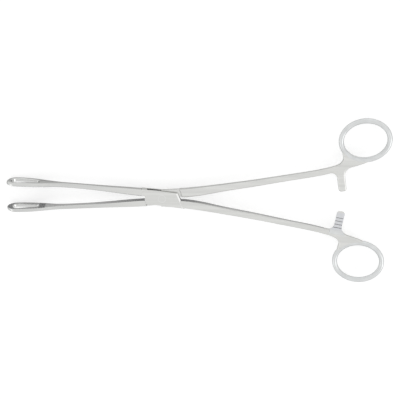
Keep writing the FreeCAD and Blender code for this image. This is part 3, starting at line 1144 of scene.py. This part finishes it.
        # the flat end in the lock
        ends = [edge for edge in bm.edges if edge.is_boundary]
        bmesh.ops.holes_fill(bm, edges=ends, sides=0)
        return bm

    def build(self, rows: RowOfCuts, steel: bpy.types.Material, flank: bpy.types.Material,
              grip: bpy.types.Material) -> bpy.types.Object:
        """Builds the jaw, closed and in millimetres.

        Args:
            rows: Tree that repeats the grooves' cutter.
            steel: Finish of the jaw.
            flank: Painted shade of the side that faces the other jaw, and of its grooves: a darker steel.
            grip: Darker painted shade of the gripping face beyond the ends of the window.

        Returns:
            The jaw.
        """
        s = self.sizes
        jaw = solid_of("jaw", self.shell())
        jaw.data.materials.append(steel)
        # painted shade on the side that faces the other jaw
        paint_where(jaw, flank, lambda face: face.normal.y < -self.inner_share)
        combine(jaw, [self.grooves(rows, flank)], Merge.CUT)
        tip_end = self.tip_grip * s.rim_tip_width - s.reach
        throat_end = self.throat_grip * s.window_root_radius - s.window_reach
        # darker painted shade on the gripping face at the tip and past the window's root
        paint_where(jaw, grip, lambda face: face.normal.y < -self.grip_share and (
            face.center.x < tip_end or -s.window_reach < face.center.x < throat_end))
        return jaw

    def grooves(self, rows: RowOfCuts, steel: bpy.types.Material) -> bpy.types.Object:
        """Row of V cutters across the gripping face.

        Args:
            rows: Tree that repeats the cutter.
            steel: Finish of the grooves, the painted shade of the inner side.

        Returns:
            The cutters, as one object.
        """
        s = self.sizes
        half = (s.groove_pitch - s.groove_land) / 2
        x = -s.reach + s.groove_pitch / 2
        y = self.grip(x)
        section = [Vector((x - half, y, 0)), Vector((x, y - s.cutter_spare, 0)), Vector((x + half, y, 0)),
                   Vector((x, y + s.groove_depth, 0))]
        cutter = prism("groove", section, Vector((0, 0, 4 * s.loop_half_width)))
        step = Vector((s.groove_pitch, self.grip(x + s.groove_pitch) - y, 0))
        return rows.repeat(cutter, int(s.groove_row / s.groove_pitch), step, steel)


@dataclass
class FingerRing:
    """Oval finger ring.

    Attributes:
        sizes: Sizes of the ring.
        path_steps: Steps round the ring.
        section_steps: Steps round its section.
    """

    sizes: RingSizes = field(default_factory=RingSizes)
    path_steps: int = 160
    section_steps: int = 40

    def spot(self, angle: float, offset: float) -> np.ndarray:
        """Point of the ring's plan.

        Args:
            angle: Angle from the ring's long axis, in degrees.
            offset: Distance outside the edge of the hole.

        Returns:
            The point.
        """
        s = self.sizes
        turn = math.radians(s.tilt)
        along = np.array((math.cos(turn), math.sin(turn))) * (s.hole_half_length + offset)
        across = np.array((-math.sin(turn), math.cos(turn))) * (s.hole_half_width + offset)
        at = math.radians(angle)
        return np.array((s.centre_x, s.centre_y)) + along * math.cos(at) + across * math.sin(at)

    def build(self, band: OvalBand, steel: bpy.types.Material) -> bpy.types.Object:
        """Builds the ring, closed and in millimetres.

        Args:
            band: Tree that sweeps the band.
            steel: Finish of the ring.

        Returns:
            The ring.
        """
        s = self.sizes
        start = bpy.data.objects.new("ring", bpy.data.meshes.new("ring"))
        bpy.context.scene.collection.objects.link(start)
        half_band = s.band / 2
        return run_tree(start, band.tree, {
            "Path Radii": (s.hole_half_length + half_band, s.hole_half_width + half_band, 1.0),
            "Section Radii": (half_band, s.thickness / 2, 1.0),
            "Centre": (s.centre_x, s.centre_y, 0.0),
            "Turn": (0.0, 0.0, math.radians(s.tilt)),
            "Path Steps": self.path_steps,
            "Section Steps": self.section_steps,
            "Steel": steel,
        })


@dataclass
class Handle:
    """Handle shank with its web and its ratchet arm.

    Attributes:
        ring: The ring that the web leads to.
        sizes: Sizes of the handle.
        lock: Sizes of the lock at its root.
        flank_share: How far a face has to point to the other handle to get the inner side's painted shade.
        round_growth: Growth of the edge round with the distance from the metal that hides its end.
        path_steps: Steps of the inner and of the outer edge.
        closing_steps: Points of the end that lies inside the ring's band.
    """

    ring: FingerRing
    sizes: HandleSizes = field(default_factory=HandleSizes)
    lock: LockSizes = field(default_factory=LockSizes)
    flank_share: float = 0.97
    round_growth: float = 0.7
    path_steps: int = 320
    closing_steps: int = 24

    def share(self, x: float) -> float:
        """Share of the way along the shank at x."""
        return (x - self.sizes.root_reach) / (self.sizes.end_reach - self.sizes.root_reach)

    def centre(self, x: float) -> float:
        """Middle line of the shank.

        Args:
            x: Place along the forceps.

        Returns:
            Its place across the forceps.
        """
        s = self.sizes
        start = -self.lock.centre_clearance - s.root_width / 2
        share = self.share(x)
        return start - (s.end_drop + start) * share + 4 * s.bow * share * (1 - share)

    def width(self, x: float) -> float:
        """Width of the shank.

        Args:
            x: Place along the forceps.

        Returns:
            The width there.
        """
        s = self.sizes
        share = self.share(x)
        root = s.root_width * 2 * (share - 0.5) * (share - 1)
        return root + s.middle_width * 4 * share * (1 - share) + s.end_width * 2 * share * (share - 0.5)

    def half_height(self, x: float) -> float:
        """Half the shank's thickness at x."""
        s = self.sizes
        return s.root_thickness / 2 - (s.root_thickness - s.end_thickness) / 2 * self.share(x)

    def ahead(self) -> np.ndarray:
        """Direction from the foot of the arm to its tip."""
        lean = math.radians(self.sizes.arm_lean)
        return np.array((math.sin(lean), math.cos(lean)))

    def aside(self) -> np.ndarray:
        """Direction across the arm, towards the ring."""
        return np.array((self.ahead()[1], -self.ahead()[0]))

    def arm_spot(self, y: float) -> np.ndarray:
        """Point on the middle line of the arm.

        Args:
            y: Its place across the forceps.

        Returns:
            The point.
        """
        s = self.sizes
        base = self.centre(s.arm_x)
        return np.array((s.arm_x, base)) + self.ahead() * ((y - base) / self.ahead()[1])

    def cut_of(self, path: np.ndarray, edge: np.ndarray) -> tuple[int, np.ndarray]:
        """Where a path crosses one side of the arm.

        Args:
            path: Points of the path.
            edge: A point on that side.

        Returns:
            Number of the last point before the crossing, and the crossing.
        """
        beside = (path - edge) @ self.aside()
        at = int(np.argmax((beside[:-1] < 0) & (beside[1:] >= 0)))
        share = beside[at] / (beside[at] - beside[at + 1])
        return at, path[at] + (path[at + 1] - path[at]) * share

    def outline(self) -> tuple[np.ndarray, np.ndarray]:
        """Outline of shank, web and arm seen from above.

        Returns:
            Its points, anticlockwise, and the share of the edge round at each point.
        """
        s = self.sizes
        spots = [s.root_reach + (s.end_reach - s.root_reach) * share for share in (0, 0.25, 0.5, 0.75, 1)]
        clear = self.lock.centre_clearance
        inner = [(0.0, -clear - s.root_dip)] + [(x, self.centre(x) + self.width(x) / 2) for x in spots]
        outer = [(0.0, -clear - s.root_width)] + [(x, self.centre(x) - self.width(x) / 2) for x in spots]
        band = self.ring.sizes.band
        depth = band * (1 - s.web_depth_share)
        top = self.ring.spot(s.web_top_angle, band)
        inner += [tuple((np.array(inner[-1]) + top) / 2 + (0.0, s.web_swell)), tuple(top),
                  tuple(self.ring.spot(s.web_top_end_angle, depth))]
        start = np.array(outer[-1])
        turn = self.ring.spot(s.web_notch_angle, depth) - start
        outer += [tuple(start + turn * shares) for shares in (*s.web_neck, (1.0, 1.0))]
        inner_path = spline_through(inner, self.path_steps)
        outer_path = spline_through(outer, self.path_steps)
        ahead = self.ahead()
        aside = self.aside()
        tip = self.arm_spot(s.arm_tip_y)
        pieces = []
        for side, foot_round in ((-1, s.shank_foot_round), (1, s.ring_foot_round)):
            edge = tip + aside * (side * s.arm_width / 2)
            at, foot = self.cut_of(inner_path, edge)
            reach = np.linalg.norm(inner_path - foot, axis=1)
            if side < 0:
                keep = int(np.argmax(reach < foot_round))
                root = inner_path[:keep]
            else:
                near = reach < foot_round
                keep = len(near) - int(np.argmax(near[::-1]))
                end = inner_path[keep:]
            leave = inner_path[keep - 1 if side < 0 else keep]
            rounded = corner(leave, foot, foot + ahead * foot_round)
            top_corner = corner(edge - ahead * s.arm_tip_round, edge, edge - aside * (side * s.arm_tip_round))
            pieces += [rounded[1:], top_corner] if side < 0 else [top_corner[::-1], rounded[::-1][:-1]]
        angles = np.linspace(s.web_top_end_angle, s.web_notch_angle, self.closing_steps)
        closing = np.array([self.ring.spot(angle, band / 2) for angle in angles])
        loop = np.concatenate([root] + pieces + [end, closing, outer_path[::-1]])
        hidden = np.concatenate([closing, [inner_path[0], outer_path[0]]])
        away = np.linalg.norm(loop[:, None] - hidden[None], axis=2).min(axis=1)
        return loop[::-1], np.clip(self.round_growth * away / s.edge_round, 0.0, 1.0)[::-1]

    def across_arm(self, name: str, profile: Sequence[tuple[float, float]]) -> bpy.types.Object:
        """Bar across the arm.

        Args:
            name: Name of the bar.
            profile: Distance along the arm from its ramp, and height, of each corner.

        Returns:
            The bar.
        """
        foot = self.arm_spot(self.sizes.ramp_y)
        corners = [Vector((*(foot + self.ahead() * run), height)) for run, height in profile]
        return prism(name, corners, Vector((*self.aside(), 0.0)) * (2 * self.sizes.arm_width))

    def build(self, rows: RowOfCuts, steel: bpy.types.Material, ground: bpy.types.Material,
              flank: bpy.types.Material, cool: bpy.types.Material) -> bpy.types.Object:
        """Builds the handle, closed and in millimetres.

        Args:
            rows: Tree that repeats the teeth's cutter.
            steel: Finish of the handle.
            ground: Finish of the arm's ground face and teeth.
            flank: Painted shade of the side that faces the other handle: a darker steel.
            cool: Finish of the ramp at the arm's foot.

        Returns:
            The handle.
        """
        s = self.sizes
        outline, shares = self.outline()
        handle = rounded_plate("handle", outline, self.half_height, s.edge_round, shares)
        handle.data.materials.append(steel)
        # painted shade on the side that faces the other handle
        paint_where(handle, flank, lambda side: (
            side.normal.y > self.flank_share and side.center.x < s.end_reach))
        face = -s.face_clearance
        slant = 1 / self.ahead()[1]
        tip = (s.arm_tip_y - s.ramp_y) * slant
        past = tip + s.cutter_spare
        top = s.root_thickness
        ramp_top = -s.ramp_run * top / (s.end_thickness / 2)
        room = self.across_arm("arm_room", [(0, face), (past, face), (past, top), (ramp_top, top)])
        room = with_walls(room, ground, cool)
        bevel = self.across_arm("arm_bevel", [
            (tip - s.arm_tip_bevel, face), (past, face), (past, face - past), (tip, face - s.arm_tip_bevel)])
        tooth_wall = (s.first_tooth_y - s.ramp_y) * slant
        toe = tooth_wall - s.tooth_pitch + s.tooth_land
        over = face + s.tooth_spare
        tooth = self.across_arm("tooth", [
            (tooth_wall, over), (tooth_wall, face - s.tooth_depth), (toe, face), (toe, over)])
        teeth = rows.repeat(tooth, s.tooth_count, Vector((*self.ahead(), 0.0)) * -s.tooth_pitch, ground)
        return combine(handle, [room, bevel, teeth], Merge.CUT)


@dataclass
class BoxLock:
    """Box of the female half, and what the male half leaves free for it.

    Attributes:
        sizes: Sizes of the lock.
        edge_steps: Steps of each long edge of the box.
        arc_steps: Steps of the seat and of the tongue's ends.
    """

    sizes: LockSizes = field(default_factory=LockSizes)
    edge_steps: int = 60
    arc_steps: int = 24

    def seat(self, y: float) -> np.ndarray:
        """Point on the seat arc, on the jaw side."""
        return np.array((-math.sqrt(self.sizes.seat_radius ** 2 - y ** 2), y))

    def end(self, y: float) -> np.ndarray:
        """Point on the slanted end, on the handle side."""
        s = self.sizes
        return np.array((s.end_reach - y * math.tan(math.radians(s.end_lean)), y))

    def bevel(self, block: bpy.types.Object, start: np.ndarray, end: np.ndarray, run: float, drop: float,
              finish: int) -> None:
        """Bevels both edges of one end of the box.

        Args:
            block: The box.
            start: One corner of the end.
            end: The other corner, with the metal on the left.
            run: How far the bevel reaches in.
            drop: How far it reaches down.
            finish: Number of the box's finish that the bevel gets.
        """
        along = Vector((*(end - start), 0.0)).normalized()
        inward = Vector((-along.y, along.x, 0.0))
        bm = bmesh.new()
        bm.from_mesh(block.data)
        for side in (1, -1):
            spot = Vector((*start, side * self.sizes.thickness / 2)) + inward * run
            down = (-inward * run - Vector((0, 0, side * drop))).normalized()
            normal = along.cross(down).normalized()
            if normal.z * side < 0:
                normal.negate()
            cut = bmesh.ops.bisect_plane(bm, geom=bm.verts[:] + bm.edges[:] + bm.faces[:], plane_co=spot,
                                         plane_no=normal, clear_outer=True)
            rim = [found for found in cut["geom_cut"] if isinstance(found, bmesh.types.BMEdge)]
            for slope in bmesh.ops.holes_fill(bm, edges=rim, sides=0)["faces"]:
                slope.material_index = finish
        # one face for each flat, so that no fan of slivers ends on the bevel
        inside = [edge for edge in bm.edges if all(abs(face.normal.z) > LEVEL for face in edge.link_faces)]
        bmesh.ops.dissolve_edges(bm, edges=inside, use_verts=True)
        bmesh.ops.recalc_face_normals(bm, faces=bm.faces)
        bm.to_mesh(block.data)
        bm.free()

    def box(self, handle: Handle, steel: bpy.types.Material, bright: bpy.types.Material) -> bpy.types.Object:
        """Solid box, before the slot is cut.

        Args:
            handle: The handle that leaves the box.
            steel: Finish of the box.
            bright: Painted highlight of the bevel at its free end: a much paler steel.

        Returns:
            The box, closed and in millimetres.
        """
        s = self.sizes
        jaw_side = JawSizes().root_inner + s.proud
        handle_side = -s.centre_clearance - handle.sizes.root_width - s.proud
        root_upper = np.array((-s.root_reach, s.half_width))
        root_lower = np.array((-s.root_reach, jaw_side))
        end_upper = self.end(s.half_width - s.end_taper)
        end_lower = self.end(handle_side)
        top = spline_through([tuple(root_upper), (0.0, s.half_width), tuple(end_upper)], self.edge_steps)
        bottom = spline_through([tuple(end_lower), (0.0, -s.half_width), tuple(self.seat(-s.half_width))],
                                self.edge_steps)
        first = math.atan2(*self.seat(-s.half_width)[::-1]) + 2 * math.pi
        last = math.atan2(*self.seat(jaw_side)[::-1])
        seat = arc((0, 0), s.seat_radius, first, last, self.arc_steps)
        loop = np.concatenate([top, bottom, seat[1:], [root_lower]])
        shares = np.concatenate([np.ones(len(top) + len(bottom)), np.zeros(len(seat))])
        block = rounded_plate("box", loop[::-1], lambda x: s.thickness / 2, s.edge_round, shares[::-1])
        block.data.materials.append(steel)
        block.data.materials.append(bright)
        # the bevel at the free end gets the painted highlight
        self.bevel(block, end_lower, end_upper, s.end_bevel_run, s.end_bevel_drop, 1)
        self.bevel(block, root_upper, root_lower, s.root_bevel_run, s.root_bevel_drop, 0)
        return block

    def slot(self, steel: bpy.types.Material) -> bpy.types.Object:
        """Room for the tongue of the male half.

        Args:
            steel: Finish of the slot's walls, the painted shade of the inner sides.

        Returns:
            The room, to be cut from the box.
        """
        s = self.sizes
        half = s.slot_height / 2
        room = drum("slot", s.seat_radius + 2 * s.seat_clearance, -half, half)
        reach = s.shoulder_radius + s.cutter_spare
        low = -s.open_side_share * s.centre_clearance
        corners = [Vector((x, y, 0)) for x, y in ((0, low), (reach, low), (reach, reach), (0, reach))]
        # the slot's walls get the inner sides' painted shade
        room.data.materials.append(steel)
        return combine(room, [prism("free_side", corners, Vector((0, 0, s.slot_height)))], Merge.JOIN)

    def pin_room(self, clearance: float) -> bpy.types.Object:
        """Room for the pin and its two heads.

        Args:
            clearance: Room left round the pin.

        Returns:
            The room, to be cut from a half.
        """
        s = self.sizes
        half = s.thickness / 2
        over = 0.2
        spread_out = s.pin_head_radius + over * (s.pin_head_radius - s.pin_radius) / s.pin_head_depth
        inside = half - s.pin_head_depth
        return lathe("pin_room", [
            (spread_out + clearance, -half - over), (s.pin_radius + clearance, -inside),
            (s.pin_radius + clearance, inside), (spread_out + clearance, half + over)])

    def jaw_room(self, side: int, steel: bpy.types.Material, bright: bpy.types.Material) -> bpy.types.Object:
        """What a cheek needs, cut from the male jaw.

        Args:
            side: 1 for the room above the tongue, -1 for the room below it.
            steel: Finish of the flats that the cut leaves.
            bright: Painted highlight of the walls that it leaves.

        Returns:
            The room.
        """
        s = self.sizes
        low, high = sorted((side * s.tongue_height / 2, side * s.thickness))
        return with_walls(drum("jaw_room", s.seat_radius + s.seat_clearance, low, high), steel, bright)

    def handle_room(self, side: int, steel: bpy.types.Material,
                    bright: bpy.types.Material) -> bpy.types.Object:
        """What a cheek needs, cut from the male handle, with a ramp at the shoulder.

        Args:
            side: 1 for the room above the tongue, -1 for the room below it.
            steel: Finish of the flats that the cut leaves.
            bright: Painted highlight of the ramp.

        Returns:
            The room.
        """
        s = self.sizes
        low = s.tongue_height / 2
        high = s.thickness
        slope = s.shoulder_ramp_run / (HandleSizes().root_thickness / 2 - low)
        profile = [(s.shoulder_radius, low), (s.shoulder_radius + slope * (high - low), high)]
        if side < 0:
            profile = [(radius, -height) for radius, height in profile[::-1]]
        return with_walls(lathe("handle_room", profile), steel, bright)

    def tongue(self, steel: bpy.types.Material) -> bpy.types.Object:
        """Middle of the male half, inside the box.

        Args:
            steel: Finish of the tongue.

        Returns:
            The tongue, closed and in millimetres.
        """
        s = self.sizes
        half = s.tongue_height / 2
        radius = s.seat_radius + s.seat_clearance
        width = s.half_width - s.tongue_inset
        angle = math.asin(width / radius)
        right = arc((0, 0), radius, -angle, angle, self.arc_steps)
        left = arc((0, 0), radius, math.pi - angle, math.pi + angle, self.arc_steps)
        loop = np.concatenate([right, left])
        core = stack_of_loops("tongue", [[Vector((x, y, z)) for x, y in loop] for z in (-half, half)])
        core.data.materials.append(steel)
        return core


# How far a face of each half's jaw has to point to the other jaw to get the inner side's painted shade.
# The female half's jaw is the upper one in the picture, where more of that side shows.
INNER_SHARE = {Half.FEMALE: 0.2, Half.MALE: 0.85}


@dataclass
class Forging:
    """One half of the forceps: a single forging from the jaw's tip to the finger ring.

    Attributes:
        half: Which half it is.
        rows: Tree that repeats the cutters of grooves and teeth.
        band: Tree that sweeps the ring's band.
        steels: The finishes, by name.
        lock: Sizes of the lock.
        sharp_angle: Angle past which two faces don't shade as one, in degrees.
    """

    half: Half
    rows: RowOfCuts
    band: OvalBand
    steels: dict[str, bpy.types.Material]
    lock: LockSizes = field(default_factory=LockSizes)
    sharp_angle: float = 32.0

    def to_rest(self) -> Matrix:
        """Way from the closed half, in millimetres, to its place at rest, in metres.

        Returns:
            The way.
        """
        turn = math.radians(self.lock.rest_opening / 2)
        female = self.half is Half.FEMALE
        over = Matrix.Identity(4) if female else Matrix.Rotation(math.pi, 4, "X")
        swing = Matrix.Rotation(-turn if female else turn, 4, "Z")
        lift = Matrix.Translation((0, 0, self.lock.thickness / 2))
        return Matrix.Scale(MM, 4) @ lift @ swing @ over

    def build(self) -> bpy.types.Object:
        """Builds, places and dresses the half.

        Returns:
            The half, riding on its body.
        """
        satin = self.steels["satin"]
        flank = self.steels["flank"]
        # painted highlight for the lock's bevel and the rooms' walls
        bright = self.steels["bright"]
        cool = self.steels["cool"]
        handle = Handle(FingerRing())
        lock = BoxLock()
        jaw = Jaw(INNER_SHARE[self.half])
        jaw_steel = jaw.build(self.rows, self.steels["polished"], flank, self.steels["grip"])
        handle_steel = handle.build(self.rows, satin, self.steels["ground"], flank, cool)
        ring_steel = handle.ring.build(self.band, cool)
        if self.half is Half.FEMALE:
            core = lock.box(handle, satin, bright)
            rooms = [lock.slot(flank), lock.pin_room(0.0)]
        else:
            for side in (1, -1):
                combine(jaw_steel, [lock.jaw_room(side, satin, bright)], Merge.CUT)
                combine(handle_steel, [lock.handle_room(side, satin, bright)], Merge.CUT)
            core = lock.tongue(satin)
            rooms = [lock.pin_room(self.lock.pin_clearance)]
        forging = combine(core, [jaw_steel, handle_steel, ring_steel], Merge.JOIN)
        forging = combine(forging, rooms, Merge.CUT)
        forging.name = self.half.node + "_steel"
        forging.data.name = forging.name
        forging.data.transform(self.to_rest())
        self.finish(forging)
        return forging

    def finish(self, forging: bpy.types.Object) -> None:
        """Merges, smooths and hands over the finished mesh.

        Args:
            forging: The half, in its place.
        """
        bm = bmesh.new()
        bm.from_mesh(forging.data)
        bmesh.ops.remove_doubles(bm, verts=bm.verts, dist=PLACED_WELD)
        bmesh.ops.recalc_face_normals(bm, faces=bm.faces)
        bm.to_mesh(forging.data)
        bm.free()
        forging.data.shade_smooth()
        forging.data.set_sharp_from_angle(angle=math.radians(self.sharp_angle))
        even_flats(forging.data, self.sharp_angle)
        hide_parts(self.half.node)
        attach(forging, self.half.value)


def seen_directly(tree: bpy.types.NodeTree) -> bpy.types.NodeSocket:
    """Mask of the rays that show the background: from the camera, mirrored or let through.

    Args:
        tree: Tree of the material or of the world.

    Returns:
        The mask.
    """
    path = add_node(tree, "ShaderNodeLightPath")
    mirrored = add_node(tree, "ShaderNodeMath", {
        0: path.outputs["Is Camera Ray"], 1: path.outputs["Is Glossy Ray"]}, operation="MAXIMUM")
    both = add_node(tree, "ShaderNodeMath", {
        0: mirrored.outputs[0], 1: path.outputs["Is Transmission Ray"]}, operation="MAXIMUM")
    return both.outputs[0]


@dataclass(frozen=True)
class SoftBox:
    """A soft box, with its place and its width and height in metres and its power in watts."""

    name: str
    spot: tuple[float, float, float]
    size: tuple[float, float]
    power: float


@dataclass
class Studio:
    """White table, soft lights and the camera.

    Attributes:
        floor_z: Height of the table, in metres.
        look_at: Point that the camera looks at, in millimetres.
        tilt: How far the camera leans from straight above, in degrees.
        roll: How far it is turned about its own axis, in degrees.
        distance: Its distance from that point, in millimetres.
        view_width: Width of the picture there, in millimetres.
        sensor: Width of the camera's sensor, in millimetres.
        near_clip: Nearest distance that the camera sees, in metres.
        table_half: Half the table's side, in metres.
        table_grey: How pale the table is.
        table_glow: Light that whitens the table for the camera alone.
        room_light: Strength of the room's even light on the forceps.
        lamp_aim: Point that the soft boxes face, in metres.
        boxes: The soft boxes.
    """

    floor_z: float
    look_at: tuple[float, float, float] = (24.56, -1.11, 2.6)
    tilt: float = 20.0
    roll: float = 1.2
    distance: float = 900.0
    view_width: float = 258.4
    sensor: float = 36.0
    near_clip: float = 0.01
    table_half: float = 3.0
    table_grey: float = 0.65
    table_glow: float = 0.5
    room_light: float = 0.85
    lamp_aim: tuple[float, float, float] = (0.02, 0.0, 0.0)
    boxes: tuple[SoftBox, ...] = (
        SoftBox("side_box", (0.9, -0.35, 0.45), (0.6, 0.4), 1.1),
        SoftBox("tip_box", (-0.8, -0.45, 0.35), (0.6, 0.4), 0.4))

    def camera(self) -> None:
        """Sets the camera at the photograph's angle."""
        data = bpy.data.cameras.new("camera")
        data.sensor_width = self.sensor
        data.lens = self.sensor * self.distance / self.view_width
        data.clip_start = self.near_clip
        view = bpy.data.objects.new("camera", data)
        bpy.context.scene.collection.objects.link(view)
        tilt = math.radians(self.tilt)
        roll = math.radians(self.roll)
        right = Vector((1, 0, 0))
        up = Vector((0, math.cos(tilt), -math.sin(tilt)))
        back = Vector((0, math.sin(tilt), math.cos(tilt)))
        turned_right = right * math.cos(roll) + up * math.sin(roll)
        turned_up = up * math.cos(roll) - right * math.sin(roll)
        place = Matrix((turned_right, turned_up, back)).transposed().to_4x4()
        place.translation = (Vector(self.look_at) + back * self.distance) * MM
        view.matrix_world = place
        bpy.context.scene.camera = view

    def floor(self) -> None:
        """Lays the white table under the forceps."""
        bm = bmesh.new()
        bmesh.ops.create_grid(bm, x_segments=1, y_segments=1, size=self.table_half)
        mesh = bpy.data.meshes.new("table")
        bm.to_mesh(mesh)
        bm.free()
        mesh.transform(Matrix.Translation((0, 0, self.floor_z)))
        table = bpy.data.objects.new("table", mesh)
        bpy.context.scene.collection.objects.link(table)
        paint = bpy.data.materials.new("white_table")
        paint.use_nodes = True
        tree = paint.node_tree
        tree.nodes.clear()
        diffuse = add_node(tree, "ShaderNodeBsdfDiffuse", {"Color": grey(self.table_grey)})
        glow = add_node(tree, "ShaderNodeEmission", {"Color": grey(1.0), "Strength": self.table_glow})
        both = add_node(tree, "ShaderNodeAddShader", {0: diffuse.outputs[0], 1: glow.outputs[0]})
        pick = add_node(tree, "ShaderNodeMixShader", {
            0: seen_directly(tree), 1: diffuse.outputs[0], 2: both.outputs[0]})
        add_node(tree, "ShaderNodeOutputMaterial", {"Surface": pick.outputs[0]})
        mesh.materials.append(paint)

    def hang(self, box: SoftBox) -> None:
        """Hangs a soft box that faces the forceps.

        Args:
            box: The soft box.
        """
        data = bpy.data.lights.new(box.name, "AREA")
        data.shape = "RECTANGLE"
        data.size, data.size_y = box.size
        data.energy = box.power
        lamp = bpy.data.objects.new(box.name, data)
        bpy.context.scene.collection.objects.link(lamp)
        lamp.location = box.spot
        lamp.rotation_euler = (Vector(self.lamp_aim) - Vector(box.spot)).to_track_quat("-Z", "Y").to_euler()

    def lights(self) -> None:
        """Hangs the lamps and fills the room with pale light."""
        for box in self.boxes:
            self.hang(box)
        world = bpy.data.worlds.new("room")
        world.use_nodes = True
        tree = world.node_tree
        tree.nodes.clear()
        room = add_node(tree, "ShaderNodeBackground", {"Color": grey(1.0), "Strength": self.room_light})
        white = add_node(tree, "ShaderNodeBackground", {"Color": grey(1.0), "Strength": 1.0})
        pick = add_node(tree, "ShaderNodeMixShader", {
            0: seen_directly(tree), 1: room.outputs[0], 2: white.outputs[0]})
        add_node(tree, "ShaderNodeOutputWorld", {"Surface": pick.outputs[0]})
        bpy.context.scene.world = world


def main() -> None:
    """Builds the forceps, the table, the lights and the camera."""
    logging.basicConfig(level=logging.INFO, format="%(name)s: %(message)s")
    bpy.context.scene.view_settings.view_transform = "Standard"
    grain = GroundGrain()
    wear_and_shade = WornEdgesAndHollowShade()
    finishes = {"satin": SATIN, "cool": COOL, "polished": POLISHED, "ground": GROUND, "flank": FLANK_SHADE,
                "grip": GRIP_SHADE, "bright": PAINTED_HIGHLIGHT}
    steels = {name: finish.build(grain, wear_and_shade) for name, finish in finishes.items()}
    rows = RowOfCuts()
    band = OvalBand()
    for half in Half:
        made = Forging(half, rows, band, steels).build()
        LOG.info("%s: %d faces", made.name, len(made.data.polygons))
    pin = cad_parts["pivot_pin"]
    pin.data.materials.clear()
    pin.data.materials.append(steels["satin"])
    LOG.info("pivot_pin: %d faces", len(pin.data.polygons))
    studio = Studio(CAD_BOX[0][2])
    studio.floor()
    studio.lights()
    studio.camera()


if __name__ == "__main__":
    main()
